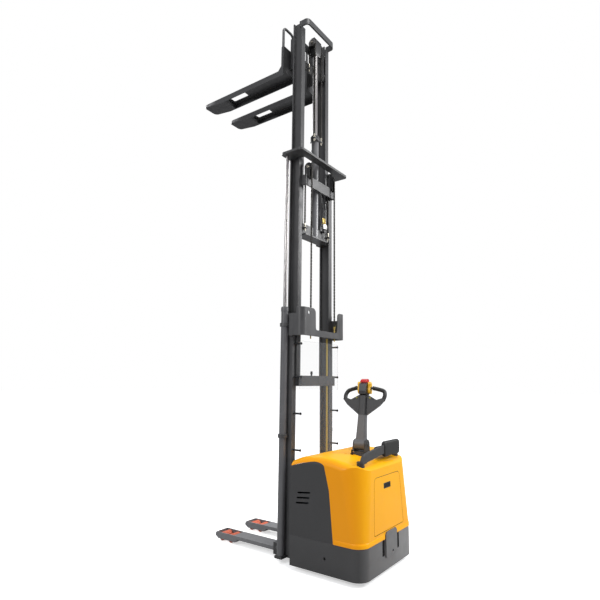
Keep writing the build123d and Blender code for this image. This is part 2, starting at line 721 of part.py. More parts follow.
with BuildPart() as fork_right:
    with BuildSketch(Plane.YZ.offset(fork_inner)):
        with BuildLine():
            Polyline(
                (fork_tip_y, fork_top - 12),
                (fork_tip_y - 60, fork_top),
                (fork_heel_y, fork_top),
                (fork_heel_y, fork_bottom),
                (fork_tip_y - 240, fork_bottom),
                (fork_tip_y, fork_top - 26),
                close=True,
            )
        make_face()
    extrude(amount=fork_width)
    tip_corners = edges().filter_by(Axis.Z).group_by(Axis.Y)[-1]
    fillet(tip_corners, radius=42)
    with BuildSketch(Plane.YZ.offset(fork_inner + fork_wall)):
        with BuildLine():
            Polyline(
                (fork_channel_end, fork_top - fork_wall),
                (fork_heel_y - 1, fork_top - fork_wall),
                (fork_heel_y - 1, fork_bottom - 1),
                (fork_channel_end, fork_bottom - 1),
                close=True,
            )
        make_face()
    extrude(amount=fork_width - 2 * fork_wall, mode=Mode.SUBTRACT)
    with BuildSketch(Plane.XY.offset(fork_top - 20)):
        with Locations((fork_middle, 590)):
            RectangleRounded(84, 210, 14)
    extrude(amount=30, mode=Mode.SUBTRACT)
    with BuildSketch(Plane.XZ.offset(-fork_heel_y)):
        with BuildLine():
            Polyline(
                (fork_inner, fork_top - fork_wall),
                (fork_outer, fork_top - fork_wall),
                (fork_outer, 4790),
                (fork_inner, 4790),
                close=True,
            )
        make_face()
        fillet(vertices().group_by(Axis.Y)[-1], radius=14)
    extrude(amount=-26)
    for x in (fork_inner + 24, fork_outer - 32):
        with BuildSketch(Plane.YZ.offset(x)):
            with BuildLine():
                Polyline(
                    (fork_heel_y + 26, fork_top),
                    (fork_heel_y + 104, fork_top),
                    (fork_heel_y + 26, fork_top + 90),
                    close=True,
                )
            make_face()
        extrude(amount=8)
    with BuildLine() as backrest_path:
        FilletPolyline(
            (fork_inner + 13, fork_heel_y + 13, 4785),
            (fork_inner + 13, fork_heel_y + 13, backrest_top),
            (fork_outer - 13, fork_heel_y + 13, backrest_top),
            (fork_outer - 13, fork_heel_y + 13, 4785),
            radius=44,
        )
    with BuildSketch(Plane(origin=backrest_path.line @ 0, z_dir=backrest_path.line % 0)):
        Circle(backrest_radius)
    sweep()
save(fork_right, "fork_right")

with BuildPart() as fork_left:
    mirror(fork_right.part, about=Plane.YZ)
save(fork_left, "fork_left")


# ---- Support legs and load rollers -----------------------------------------
leg_wall = 8.0
axle_radius = 10.0
leg_middle = (leg_inner + leg_outer) / 2

with BuildPart() as support_legs:
    with BuildSketch(Plane.YZ.offset(leg_inner)):
        with BuildLine():
            Polyline(
                (base_front_y, leg_top),
                (leg_tip_y - 14, leg_top),
                (leg_tip_y, leg_top - 16),
                (leg_tip_y, 42),
                (leg_tip_y - 40, 20),
                (370, 20),
                (340, 45),
                (base_front_y, 45),
                close=True,
            )
        make_face()
    extrude(amount=leg_outer - leg_inner)
    leg_hollow = (leg_inner + leg_wall, leg_outer - leg_wall)
    beam_x((base_front_y + 12, 385), (30, leg_top - leg_wall), leg_hollow, Mode.SUBTRACT)
    beam_x((392, 600), (10, 100), leg_hollow, Mode.SUBTRACT)
    for y in load_roller_ys:
        across(axle_radius, (leg_inner, leg_outer), y, load_roller_radius)
    mirror(about=Plane.YZ)
save(support_legs, "support_legs")


def load_roller_pair(y):
    """Two wide polyurethane rollers on one line, each with a bore for its axle."""
    span = (leg_middle - 52, leg_middle + 52)
    with BuildPart() as rollers_pair:
        across_both(load_roller_radius, span, y, load_roller_radius)
        chamfer(rollers_pair.edges().filter_by(GeomType.CIRCLE), length=3)
        across_both(axle_radius + running_gap, span, y, load_roller_radius, Mode.SUBTRACT)
    return rollers_pair


for name, y in zip(("load_rollers_rear", "load_rollers_front"), load_roller_ys):
    save(load_roller_pair(y), name)


# ---- Rear casters ----------------------------------------------------------
caster_wheel_radius = 62.5
caster_trail = 40.0
caster_axle = 8.0


def caster_fork(x):
    """A swivel fork hung by its stem under the caster shelf."""
    axle_y = caster_y - caster_trail
    with BuildPart() as fork:
        upright(caster_stem, x, caster_y, (165, caster_shelf[1]))
        upright(36, x, caster_y, (165, caster_shelf[0] - 0.5))
        for cheek in (-32, 27):
            with BuildSketch(Plane.YZ.offset(x + cheek)) as side_plate:
                with BuildLine():
                    Polyline(
                        (caster_y - 26, 170),
                        (caster_y + 26, 170),
                        (axle_y + 15, caster_wheel_radius - 6),
                        (axle_y - 15, caster_wheel_radius - 6),
                        close=True,
                    )
                make_face()
                fillet(side_plate.vertices().group_by(Axis.Y)[0], radius=8)
            extrude(side_plate.sketch, amount=5)
        across(caster_axle, (x - 32, x + 32), axle_y, caster_wheel_radius)
    return fork


def caster_wheel(x):
    """A solid-tyred caster wheel with a bore for its axle."""
    axle_y = caster_y - caster_trail
    with BuildPart() as wheel:
        across(caster_wheel_radius, (x - 25, x + 25), axle_y, caster_wheel_radius)
        chamfer(wheel.edges().filter_by(GeomType.CIRCLE), length=5)
        across(caster_axle + running_gap, (x - 26, x + 26), axle_y, caster_wheel_radius, Mode.SUBTRACT)
    return wheel


for side_name, x in (("left", -caster_x), ("right", caster_x)):
    save(caster_fork(x), f"caster_fork_{side_name}")
    save(caster_wheel(x), f"caster_wheel_{side_name}")


# ---- Drive unit, turned with the tiller ------------------------------------
with BuildPart(steer_frame) as turret:
    upright(120, 0, 0, (345, 374))
    upright(138, 0, 0, (swivel_plate[1] + 0.5, 374))
    upright(95, 0, 0, (374, 812))
    upright(70, 0, 0, (812, 866))
    upright(64, 0, 0, (866, 882))
    upright(89, 0, 0, (374, 800), Mode.SUBTRACT)
    upright(60, 0, 0, (340, 380), Mode.SUBTRACT)
    for x in (-60, 46.5):
        with BuildSketch(in_frame(steer_frame, Plane.YZ.offset(x))):
            with BuildLine():
                Polyline((40, tilt_z), (44, 880), (-44, 880), (-40, tilt_z))
                RadiusArc((-40, tilt_z), (40, tilt_z), 40)
            make_face()
        extrude(amount=13.5)
    with BuildSketch(in_frame(steer_frame, Plane.YZ.offset(-64))):
        with Locations((0, tilt_z)):
            Circle(12)
    extrude(amount=128)
save(turret, "turret")

with BuildPart(steer_frame) as drive_unit:
    upright(84, 0, 0, (374, 390))
    upright(78, 0, 0, (390, 640))
    upright(50, 0, 0, (640, 690))
    with PolarLocations(78, 24):
        Box(4, 3, 240, align=(Align.CENTER, Align.CENTER, Align.MIN), mode=Mode.SUBTRACT)
    upright(100, 0, 0, (300, 345))
    upright(59.9, 0, 0, (345, 374))
    beam_x((-62, 62), (120, 310), (44, 92))
    with BuildSketch(in_frame(steer_frame, Plane.YZ.offset(44))):
        with Locations((0, wheel_radius)):
            Circle(62)
    extrude(amount=48)
    with BuildSketch(in_frame(steer_frame, Plane.YZ.offset(-44))):
        with Locations((0, wheel_radius)):
            Circle(20)
    extrude(amount=90)
save(drive_unit, "drive_unit")

with BuildPart() as drive_wheel:
    with BuildSketch(in_frame(steer_frame, Plane.YZ.offset(-37.5))):
        with Locations((0, wheel_radius)):
            Circle(wheel_radius)
            Circle(20 + running_gap, mode=Mode.SUBTRACT)
            with PolarLocations(58, 6):
                Circle(13, mode=Mode.SUBTRACT)
    extrude(amount=75)
    chamfer(edges().filter_by(GeomType.CIRCLE).sort_by(SortBy.LENGTH)[-2:], length=4)
save(drive_wheel, "drive_wheel")


# ---- Tiller ----------------------------------------------------------------
head_half = 33.0
head_top = 507.0
throttle_y, throttle_z = -14.0, 470.0
grip_bar_radius = 11.0
lift_button_at = (62.0, 385.0)
lower_button_at = (86.0, 371.0)
button_radius = 7.5


def in_tiller(x, y, z):
    """A point of the tiller in the truck's frame."""
    return (tiller_frame * Location((x, y, z))).position


def handle_bow(side):
    """Centre line of one handle bar, from its wing round to the control head."""
    bow = [
        in_tiller(side * 178, -8, 372),
        in_tiller(side * 184, -26, 410),
        in_tiller(side * 168, -44, 448),
        in_tiller(side * 120, -32, 462),
        in_tiller(side * 72, throttle_y, throttle_z),
    ]
    inward = in_tiller(-side, 0, 0) - in_tiller(0, 0, 0)
    with BuildLine() as path:
        Spline(*bow, tangents=(bow[1] - bow[0], inward))
    return path.line


with BuildPart() as tiller_arm:
    for z, width, depth in ((20, 88, 66), (240, 72, 50), (402, 70, 50)):
        with BuildSketch(in_frame(tiller_frame, Plane.XY.offset(z))):
            RectangleRounded(width, depth, 14)
    loft()
    with BuildSketch(in_frame(tiller_frame, Plane.YZ.offset(-46))):
        Circle(48)
    extrude(amount=92)
    with BuildSketch(in_frame(tiller_frame, Plane.XZ.offset(-6))):
        with BuildLine():
            Polyline(
                (-30, 235),
                (-150, 322),
                (-194, 372),
                (-170, 384),
                (-118, 368),
                (-34, 412),
                (34, 412),
                (118, 368),
                (170, 384),
                (194, 372),
                (150, 322),
                (30, 235),
                close=True,
            )
        make_face()
    extrude(amount=26)
    with BuildSketch(in_frame(tiller_frame, Plane.YZ.offset(-73))):
        with Locations((throttle_y, throttle_z)):
            Circle(grip_bar_radius)
    extrude(amount=146)
    for side in (-1, 1):
        bow = handle_bow(side)
        with BuildSketch(Plane(origin=bow @ 0, z_dir=bow % 0)):
            Circle(grip_bar_radius - 0.3)
        sweep(path=bow)
        with BuildSketch(in_frame(tiller_frame, Plane.XZ.offset(-7))):
            with Locations(
                (side * lift_button_at[0], lift_button_at[1]),
                (side * lower_button_at[0], lower_button_at[1]),
            ):
                Circle(button_radius + running_gap)
        extrude(amount=13, mode=Mode.SUBTRACT)
    with BuildSketch(in_frame(tiller_frame, Plane.YZ.offset(-70))):
        Circle(12 + running_gap)
    extrude(amount=140, mode=Mode.SUBTRACT)
save(tiller_arm, "tiller_arm")

with BuildPart() as handle_grips:
    for side in (-1, 1):
        sleeve = handle_bow(side).edges()[0].trim(0.42, 0.985)
        with BuildSketch(Plane(origin=sleeve @ 0, z_dir=sleeve % 0)):
            Circle(16)
            Circle(grip_bar_radius + running_gap, mode=Mode.SUBTRACT)
        sweep(path=sleeve)
save(handle_grips, "handle_grips")

with BuildPart() as tiller_head:
    with BuildSketch(in_frame(tiller_frame, Plane.YZ.offset(-head_half))):
        with BuildLine():
            Polyline(
                (-40, 412),
                (34, 412),
                (38, 440),
                (34, head_top - 7),
                (24, head_top),
                (-36, head_top),
                (-46, 490),
                (-46, 440),
                close=True,
            )
        make_face()
        fillet(vertices(), radius=5)
    extrude(amount=2 * head_half)
    with BuildSketch(in_frame(tiller_frame, Plane.YZ.offset(-head_half - 1))):
        with Locations((throttle_y, throttle_z)):
            Circle(grip_bar_radius + running_gap)
    extrude(amount=2 * head_half + 2, mode=Mode.SUBTRACT)
    with BuildSketch(in_frame(tiller_frame, Plane.XY.offset(head_top - 13))):
        with Locations((0, -7)):
            Rectangle(44.2, 44.2)
    extrude(amount=20, mode=Mode.SUBTRACT)
save(tiller_head, "tiller_head")

with BuildPart() as belly_button:
    with BuildSketch(in_frame(tiller_frame, Plane.YZ.offset(-29))):
        with BuildLine():
            Polyline(
                (-34, head_top + 9),
                (30, head_top + 9),
                (22, 534),
                (-6, 548),
                (-34, 546),
                close=True,
            )
        make_face()
        fillet(vertices().group_by(Axis.Y)[-1], radius=8)
    extrude(amount=58)
    with BuildSketch(in_frame(tiller_frame, Plane.XY.offset(head_top - 4))):
        with Locations((0, -7)):
            Rectangle(44, 44)
    extrude(amount=14)
save(belly_button, "belly_button")

with BuildPart() as throttle:
    for x in (36, -60):
        with BuildSketch(in_frame(tiller_frame, Plane.YZ.offset(x))):
            with BuildLine():
                Spline(
                    (throttle_y - 20, throttle_z + 4),
                    (throttle_y - 14, throttle_z + 34),
                    (throttle_y + 8, throttle_z + 52),
                    (throttle_y + 22, throttle_z + 44),
                    (throttle_y + 21, throttle_z + 14),
                    (throttle_y + 20, throttle_z - 8),
                    (throttle_y + 16, throttle_z - 36),
                    (throttle_y - 8, throttle_z - 50),
                    (throttle_y - 22, throttle_z - 44),
                    (throttle_y - 21, throttle_z - 14),
                    periodic=True,
                )
            make_face()
            with Locations((throttle_y, throttle_z)):
                Circle(grip_bar_radius + running_gap, mode=Mode.SUBTRACT)
        extrude(amount=24)
save(throttle, "throttle")


def wing_buttons(at):
    """The same round push button on both wings of the tiller."""
    with BuildPart() as buttons:
        with BuildSketch(in_frame(tiller_frame, Plane.XZ.offset(-9))) as faces_pair:
            with Locations((-at[0], at[1]), (at[0], at[1])):
                Circle(button_radius)
        extrude(faces_pair.sketch, amount=10)
    return buttons


save(wing_buttons(lift_button_at), "lift_buttons")
save(wing_buttons(lower_button_at), "lower_buttons")


# ---- Controls on the hood --------------------------------------------------
with BuildPart() as emergency_stop:
    upright(14.95, *stop_button, (848, 876))
    upright(20, *stop_button, (876, 892))
    chamfer(faces().sort_by(Axis.Z)[-1].edges(), length=5)
save(emergency_stop, "emergency_stop")

with BuildPart() as key_switch_barrel:
    upright(12.95, *key_switch, (838, 872))
    beam_x(
        (key_switch[1] - 1.5, key_switch[1] + 1.5),
        (872, 900),
        (key_switch[0] - 11, key_switch[0] + 11),
    )
save(key_switch_barrel, "key_switch")


# ---- Operator guard arms ---------------------------------------------------
def guard_arm(side, band, foot_low, crown, belly, pad_x, pad_z, pad_y):
    """A folding arm: a foot turning on its pin, a band with crown and belly edges, and its pad."""
    x, y = arm_pivots[(side + 1) // 2]
    with BuildPart() as arm:
        upright(29.9, x, y, (arm_base[1], arm_foot_top))
        with BuildSketch(Plane.XZ.offset(-band[1])) as profile:
            with BuildLine():
                Polyline(
                    (side * 280, foot_low),
                    (side * 345, foot_low),
                    (side * 345, arm_foot_top),
                )
                ThreePointArc(
                    (side * 345, arm_foot_top), (side * 330, 885), (side * 300, 905)
                )
                Polyline(
                    (side * 300, 905),
                    *[(side * reach, z) for reach, z in crown],
                    *[(side * reach, z) for reach, z in belly],
                    (side * 262, foot_low + 9),
                    (side * 280, foot_low),
                )
            make_face()
        extrude(profile.sketch, amount=band[1] - band[0])
        upright(arm_pin_radius + running_gap, x, y, (800, arm_foot_top), Mode.SUBTRACT)
    with BuildPart() as pad:
        with BuildSketch(Plane.XZ.offset(-pad_y[1])) as cushion:
            with Locations(((pad_x[0] + pad_x[1]) / 2, (pad_z[0] + pad_z[1]) / 2)):
                RectangleRounded(pad_x[1] - pad_x[0], pad_z[1] - pad_z[0], 24)
        extrude(cushion.sketch, amount=pad_y[1] - pad_y[0])
        add(arm.part, mode=Mode.SUBTRACT)
    return arm, pad


guard_arm_left, guard_pad_left = guard_arm(
    side=-1,
    band=(-996, -974),
    foot_low=arm_base[1] + 10,
    crown=((240, 915), (0, 940), (-40, 945)),
    belly=((-40, 880), (60, 868), (200, 850)),
    pad_x=(10, 290),
    pad_z=(850, 970),
    pad_y=(-1006, -964),
)
guard_arm_right, guard_pad_right = guard_arm(
    side=1,
    band=(-931, -909),
    foot_low=arm_base[1] + 12,
    crown=((260, 906), (205, 906)),
    belly=((205, 862), (230, 858)),
    pad_x=(0, 240),
    pad_z=(848, 922),
    pad_y=(-941, -899),
)
save(guard_arm_left, "guard_arm_left")
save(guard_arm_right, "guard_arm_right")
save(guard_pad_left, "guard_pad_left")
save(guard_pad_right, "guard_pad_right")


# ---- Inside the chassis ----------------------------------------------------
with BuildPart() as battery:
    beam_x((-632, -412), (162, 690), (-320, 320))
    fillet(edges().filter_by(Axis.Z), radius=8)
    for x in (-200, 0, 200):
        upright(16, x, -470, (690, 702))
        upright(16, x, -574, (690, 702))
save(battery, "battery")

with BuildPart() as pump_unit:
    upright(65, -270, -780, (swivel_plate[1], 520))
    beam_x((-815, -745), (520, 570), (-305, -235))
    upright(14, -270, -745, (535, 560))
save(pump_unit, "pump_unit")
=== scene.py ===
"""Looks for a pedestrian stacker truck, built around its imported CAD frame. Metres, +Z up, +Y to the forks."""

import json
import math

import bmesh
import bpy
from mathutils import Matrix, Vector


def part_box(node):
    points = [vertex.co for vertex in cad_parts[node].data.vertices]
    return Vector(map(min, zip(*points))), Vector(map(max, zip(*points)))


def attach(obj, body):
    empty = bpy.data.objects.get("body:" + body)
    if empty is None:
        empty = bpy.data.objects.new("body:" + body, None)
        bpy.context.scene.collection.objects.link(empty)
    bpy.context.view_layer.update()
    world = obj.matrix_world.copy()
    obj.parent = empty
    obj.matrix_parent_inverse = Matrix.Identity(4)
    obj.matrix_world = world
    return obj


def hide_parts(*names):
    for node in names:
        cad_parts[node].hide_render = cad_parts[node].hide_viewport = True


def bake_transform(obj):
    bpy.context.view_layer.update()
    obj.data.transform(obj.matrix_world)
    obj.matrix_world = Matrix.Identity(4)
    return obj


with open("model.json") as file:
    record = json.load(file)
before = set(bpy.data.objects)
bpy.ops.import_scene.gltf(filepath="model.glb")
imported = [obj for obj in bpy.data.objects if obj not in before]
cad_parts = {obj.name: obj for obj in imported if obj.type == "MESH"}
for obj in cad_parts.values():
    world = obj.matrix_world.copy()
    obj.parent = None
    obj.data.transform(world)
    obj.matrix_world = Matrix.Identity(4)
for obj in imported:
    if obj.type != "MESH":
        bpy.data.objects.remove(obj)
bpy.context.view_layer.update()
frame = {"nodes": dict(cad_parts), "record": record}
NODES = frame["nodes"]
BODY = {node: body for body, nodes in frame["record"]["behaviour"]["bodies"].items() for node in nodes}
SLOT = {part["node"]: part["material_slot"] for part in frame["record"]["subparts"]}
scene = bpy.context.scene
scene.view_settings.view_transform = "Standard"


# ---- Places that several pieces share --------------------------------------
def centre_of(node):
    """The middle of a CAD node's box."""
    low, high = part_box(node)
    return [(low[k] + high[k]) / 2 for k in range(3)]


HOOD_LOW, HOOD_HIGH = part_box("hood")
HALF_WIDTH, REAR_Y, HOOD_FOOT = HOOD_HIGH[0], HOOD_LOW[1], HOOD_LOW[2]
REAR_SLOPE = 0.020 / 0.640
FOOT_CORNER = 0.100

SHEAVE_Y, SHEAVE_Z = centre_of("mast_sheaves")[1:]
CROSSHEAD_Y, CROSSHEAD_Z = centre_of("crosshead_sheaves")[1:]
MAST_CHAIN_X, CARRIAGE_CHAIN_X = 0.193, 0.058

TURN, LEAN = math.radians(95), math.radians(9)
PIVOT = Vector((0, -0.788, 0.935))
TILLER_X = Vector((math.cos(TURN), math.sin(TURN), 0))
ARM_SIDE = Vector((-math.sin(TURN), math.cos(TURN), 0))
TILLER_Y = ARM_SIDE * math.cos(LEAN) + Vector((0, 0, math.sin(LEAN)))
TILLER_Z = ARM_SIDE * -math.sin(LEAN) + Vector((0, 0, math.cos(LEAN)))


def on_rear(u, v, w):
    """A point on the hood's leaning rear wall: u across, v up from the floor, w inwards."""
    return u, REAR_Y + (v - HOOD_FOOT) * REAR_SLOPE + w, v


def tiller_point(x, y, z):
    """A point of the tiller in the row frame, from its own axes."""
    return PIVOT + TILLER_X * x + TILLER_Y * y + TILLER_Z * z


# ---- Material building -----------------------------------------------------
class Shader:
    """One principled material and short ways to feed it."""

    def __init__(self, name):
        self.mat = bpy.data.materials.new(name)
        self.mat.use_nodes = True
        self.tree = self.mat.node_tree
        self.bsdf = self.tree.nodes["Principled BSDF"]
        self.where = self.node("ShaderNodeTexCoord").outputs["Object"]

    def node(self, kind, props=None, **inputs):
        """A new node, its properties set and its named inputs fed."""
        made = self.tree.nodes.new(kind)
        for key, value in (props or {}).items():
            setattr(made, key, value)
        for key, value in inputs.items():
            self.feed(made.inputs[key.replace("_", " ")], value)
        return made

    def feed(self, socket, value):
        """Link a socket, or set its value; a colour may come without its alpha."""
        if isinstance(value, bpy.types.NodeSocket):
            self.tree.links.new(value, socket)
        elif isinstance(value, (tuple, list)) and len(value) == 3 and socket.type == "RGBA":
            socket.default_value = (*value, 1)
        else:
            socket.default_value = value

    def set(self, **inputs):
        """Feed the principled shader."""
        for key, value in inputs.items():
            self.feed(self.bsdf.inputs[key.replace("_", " ")], value)

    def noise(self, scale, detail=3.0, stretch=None):
        """Noise over the object, in the row frame, squeezed along an axis where stretch is small."""
        at = self.where
        if stretch:
            at = self.node("ShaderNodeMapping", Vector=at, Scale=stretch).outputs[0]
        return self.node("ShaderNodeTexNoise", Vector=at, Scale=scale, Detail=detail).outputs["Fac"]

    def remap(self, value, low, high, to_low, to_high):
        """A value's range low..high carried to to_low..to_high, clamped."""
        made = self.node("ShaderNodeMapRange", {"clamp": True}, Value=value, From_Min=low, From_Max=high)
        self.feed(made.inputs["To Min"], to_low)
        self.feed(made.inputs["To Max"], to_high)
        return made.outputs[0]

    def mix(self, fac, a, b):
        """Two colours mixed by a factor."""
        made = self.node("ShaderNodeMix", {"data_type": "RGBA"})
        for index, value in ((0, fac), (6, a), (7, b)):
            self.feed(made.inputs[index], value)
        return made.outputs[2]

    def math(self, how, a, b=0.0):
        """One math operation."""
        made = self.node("ShaderNodeMath", {"operation": how})
        self.feed(made.inputs[0], a)
        self.feed(made.inputs[1], b)
        return made.outputs[0]

    def dot(self, a, b):
        """The dot product of two vectors."""
        made = self.node("ShaderNodeVectorMath", {"operation": "DOT_PRODUCT"})
        self.feed(made.inputs[0], a)
        self.feed(made.inputs[1], b)
        return made.outputs["Value"]

    def axis(self, index):
        """One coordinate of the point, in the row frame."""
        return self.node("ShaderNodeSeparateXYZ", Vector=self.where).outputs[index]

    def facing(self, index):
        """One part of the surface normal."""
        normal = self.node("ShaderNodeNewGeometry").outputs["Normal"]
        return self.node("ShaderNodeSeparateXYZ", Vector=normal).outputs[index]

    def within(self, index, low, high):
        """1 where a coordinate lies between two values."""
        at = self.axis(index)
        return self.math("MULTIPLY", self.math("GREATER_THAN", at, low), self.math("LESS_THAN", at, high))

    def edges(self, radius):
        """A soft normal over sharp edges, and a mask that is 1 on them."""
        gain = 6.0
        soft = self.node("ShaderNodeBevel", {"samples": 4}, Radius=radius).outputs[0]
        true = self.node("ShaderNodeNewGeometry").outputs["Normal"]
        bend = self.math("SUBTRACT", 1.0, self.dot(soft, true))
        return soft, self.remap(self.math("MULTIPLY", bend, gain), 0, 1, 0, 1)

    def bump(self, height, distance, normal, strength):
        """Bump over a normal, fed to the principled shader."""
        made = self.node("ShaderNodeBump", Height=height, Distance=distance, Strength=strength, Normal=normal)
        self.set(Normal=made.outputs[0])


def scaled(color, gain, lift=0.0):
    """A colour made lighter or darker, kept within 1."""
    return [min(1, c * gain + lift) for c in color]


def painted(name, color, rough=0.42, wear=0.5, peel=0.00012, coat=0.15, shade=None):
    """Powder-coated steel: slow tone changes, orange peel and edges rubbed lighter."""
    s = Shader(name)
    soft, edge = s.edges(0.0022)
    patch = s.remap(s.noise(2.3, 4), 0.3, 0.7, 0.0, 1.0)
    base = s.mix(patch, scaled(color, 0.84), scaled(color, 1.14))
    if shade:
        base = shade(s, base)
    worn = s.math("MULTIPLY", edge, s.remap(s.noise(38, 5), 0.35, 0.62, 0.25, 1.0))
    base = s.mix(s.math("MULTIPLY", worn, wear), base, scaled(color, 2.4, 0.05))
    dust = s.remap(s.noise(11, 6), 0.45, 0.75, rough - 0.05, rough + 0.13)
    s.set(Base_Color=base, Roughness=dust, Coat_Weight=coat, Coat_Roughness=0.22)
    s.bump(s.noise(620, 2), peel, soft, 0.35)
    return s.mat


def moulded(name, color, rough, grain=0.0001, grain_scale=900, coat=0.0, shade=None, edge_highlight=0.25,
            shine=0.5):
    """Moulded plastic: fine spark grain, faint flow marks, soft corners and a painted highlight along its
    edges.
    """
    s = Shader(name)
    soft, edge = s.edges(0.002)
    flow = s.remap(s.noise(3.1, 3, (1, 1, 0.4)), 0.3, 0.7, 0, 1)
    base = s.mix(flow, scaled(color, 0.97), scaled(color, 1.02))
    if shade:
        base = shade(s, base)
    # painted highlight: the edges are painted lighter
    base = s.mix(s.math("MULTIPLY", edge, edge_highlight), base, scaled(color, 1.7, 0.04))
    s.set(Base_Color=base, Roughness=s.remap(s.noise(24, 3), 0.3, 0.7, rough - 0.02, rough + 0.03))
    s.set(Coat_Weight=coat, Coat_Roughness=0.16, Specular_IOR_Level=shine)
    cells = s.node("ShaderNodeTexVoronoi", Vector=s.where, Scale=grain_scale).outputs["Distance"]
    s.bump(cells, grain, soft, 0.5)
    return s.mat


def bare_metal(name, color, rough, stretch, brush, wear=0.3, oil=0.0):
    """Machined or plated metal with brush marks along one axis."""
    s = Shader(name)
    soft, edge = s.edges(0.0012)
    lines = s.noise(brush, 4, stretch)
    tone = s.mix(s.remap(s.noise(9, 5), 0.35, 0.65, 0, 1), scaled(color, 0.8), color)
    tone = s.mix(s.math("MULTIPLY", edge, wear), tone, scaled(color, 1.35))
    if oil:
        tone = s.mix(s.remap(s.noise(26, 6), 0.5, 0.7, 0, oil), tone, (0.03, 0.025, 0.02))
    s.set(Base_Color=tone, Metallic=1.0, Roughness=s.remap(lines, 0.3, 0.7, rough * 0.7, rough * 1.4))
    s.bump(lines, 0.00008, soft, 0.3)
    return s.mat


def polished(name, color, rough):
    """Hard chrome: smooth, with only a slow change of tone along its length."""
    s = Shader(name)
    tone = s.mix(s.remap(s.noise(5, 3), 0.35, 0.65, 0, 1), scaled(color, 0.86), color)
    film = s.remap(s.noise(14, 4), 0.3, 0.7, rough * 0.9, rough * 1.15)
    s.set(Base_Color=tone, Metallic=1.0, Roughness=film)
    return s.mat


def rubbery(name, color, rough, grain_scale, dust, sss=0.0):
    """Rubber or polyurethane: matt, a little dusty, finely pitted."""
    s = Shader(name)
    soft, edge = s.edges(0.003)
    dusty = s.remap(s.noise(14, 7), 0.45, 0.72, 0.0, dust)
    base = s.mix(dusty, color, scaled(color, 1.5, 0.05))
    base = s.mix(s.math("MULTIPLY", edge, 0.3), base, scaled(color, 1.8, 0.06))
    s.set(Base_Color=base, Roughness=s.remap(dusty, 0, 0.3, rough, rough + 0.15), Subsurface_Weight=sss)
    s.bump(s.noise(grain_scale, 5), 0.00025, soft, 0.5)
    return s.mat


def clear_sheet(name):
    """Clear polycarbonate: nearly invisible face on, with bright cut edges and faint scratches."""
    s = Shader(name)
    soft, edge = s.edges(0.004)
    scratch = s.remap(s.noise(60, 8, (1, 1, 8)), 0.64, 0.78, 0.0, 0.1)
    haze = s.math("MAXIMUM", s.math("MULTIPLY", scratch, 0.3), s.math("MULTIPLY", edge, 0.45))
    s.set(Base_Color=(0.62, 0.64, 0.66), Roughness=0.1, Alpha=s.math("ADD", haze, 0.05), IOR=1.45)
    s.bump(s.noise(7, 2), 0.0004, soft, 0.2)
    return s.mat


# ---- Tone changes on single parts ------------------------------------------
def hood_painted_shade(s, base):
    """Painted shade: the hood's amber is painted deeper low down and on its flanks."""
    shaded_amber = (0.86, 0.29, 0.0)
    # painted shade on the flanks, from the surface normal across
    flank = s.remap(s.math("ABSOLUTE", s.facing(0)), 0.25, 0.95, 0.0, 0.75)
    # painted shade low down, fading out by 0.80 m
    low = s.remap(s.axis(2), HOOD_FOOT, 0.80, 0.25, 0.0)
    return s.mix(s.math("MAXIMUM", flank, low), base, shaded_amber)


def mast_tone(s, base):
    """Streaks of dark grease run along the rails."""
    grease = s.remap(s.noise(18, 5, (1, 1, 0.15)), 0.52, 0.7, 0, 0.4)
    return s.mix(grease, base, (0.012, 0.012, 0.012))


def middle_tone(s, base):
    """The sheave guards on the middle stage are black; the rest is mast grey."""
    level = s.within(2, SHEAVE_Z - 0.125, SHEAVE_Z + 0.032)
    guard = s.math("MULTIPLY", level, s.math("LESS_THAN", s.axis(1), SHEAVE_Y + 0.0025))
    side = s.math("GREATER_THAN", s.math("ABSOLUTE", s.axis(0)), MAST_CHAIN_X - 0.025)
    return s.mix(s.math("MULTIPLY", guard, side), mast_tone(s, base), (0.008, 0.008, 0.008))


def skirt_painted_light(s, base):
    """Painted light: the skirt's rear faces are painted paler than its sides, most towards the right."""
    # painted light on the rear-facing faces, stronger towards the right
    rear = s.remap(s.facing(1), -1.0, -0.55, 1.0, 0.0)
    across = s.remap(s.axis(0), -0.36, 0.42, 0.25, 1.0)
    return s.mix(s.math("MULTIPLY", rear, across), base, (0.21, 0.21, 0.21))


def fork_tone(s, base):
    """The forks' tapered ends are rubbed pale along their upper edges."""
    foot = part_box("fork_left")[0][2]
    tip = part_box("fork_left")[1][1]
    near = s.math("MULTIPLY", s.remap(s.axis(1), tip - 0.19, tip - 0.05, 0.0, 1.0),
                  s.remap(s.axis(2), foot + 0.017, foot + 0.031, 0.0, 1.0))
    upper = s.math("MULTIPLY", near, s.remap(s.facing(2), -0.4, -0.1, 0.0, 1.0))
    rubbed = s.math("MULTIPLY", upper, s.remap(s.noise(30, 5), 0.35, 0.6, 0.3, 1.0))
    return s.mix(rubbed, base, (0.34, 0.34, 0.34))


def barrel_tone(s, base):
    """The free-lift barrel's gland end is darker than its tube."""
    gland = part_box("free_lift_barrel")[1][2] - 0.064
    return s.mix(s.math("GREATER_THAN", s.axis(2), gland), base, (0.03, 0.03, 0.032))


def tiller_tone(s, base):
    """The tiller's column is a lighter grey than its moulded head and wings."""
    height = s.math("SUBTRACT", s.dot(s.where, TILLER_Z), PIVOT.dot(TILLER_Z))
    return s.mix(s.remap(height, 0.236, 0.240, 1, 0), base, (0.115, 0.116, 0.12))


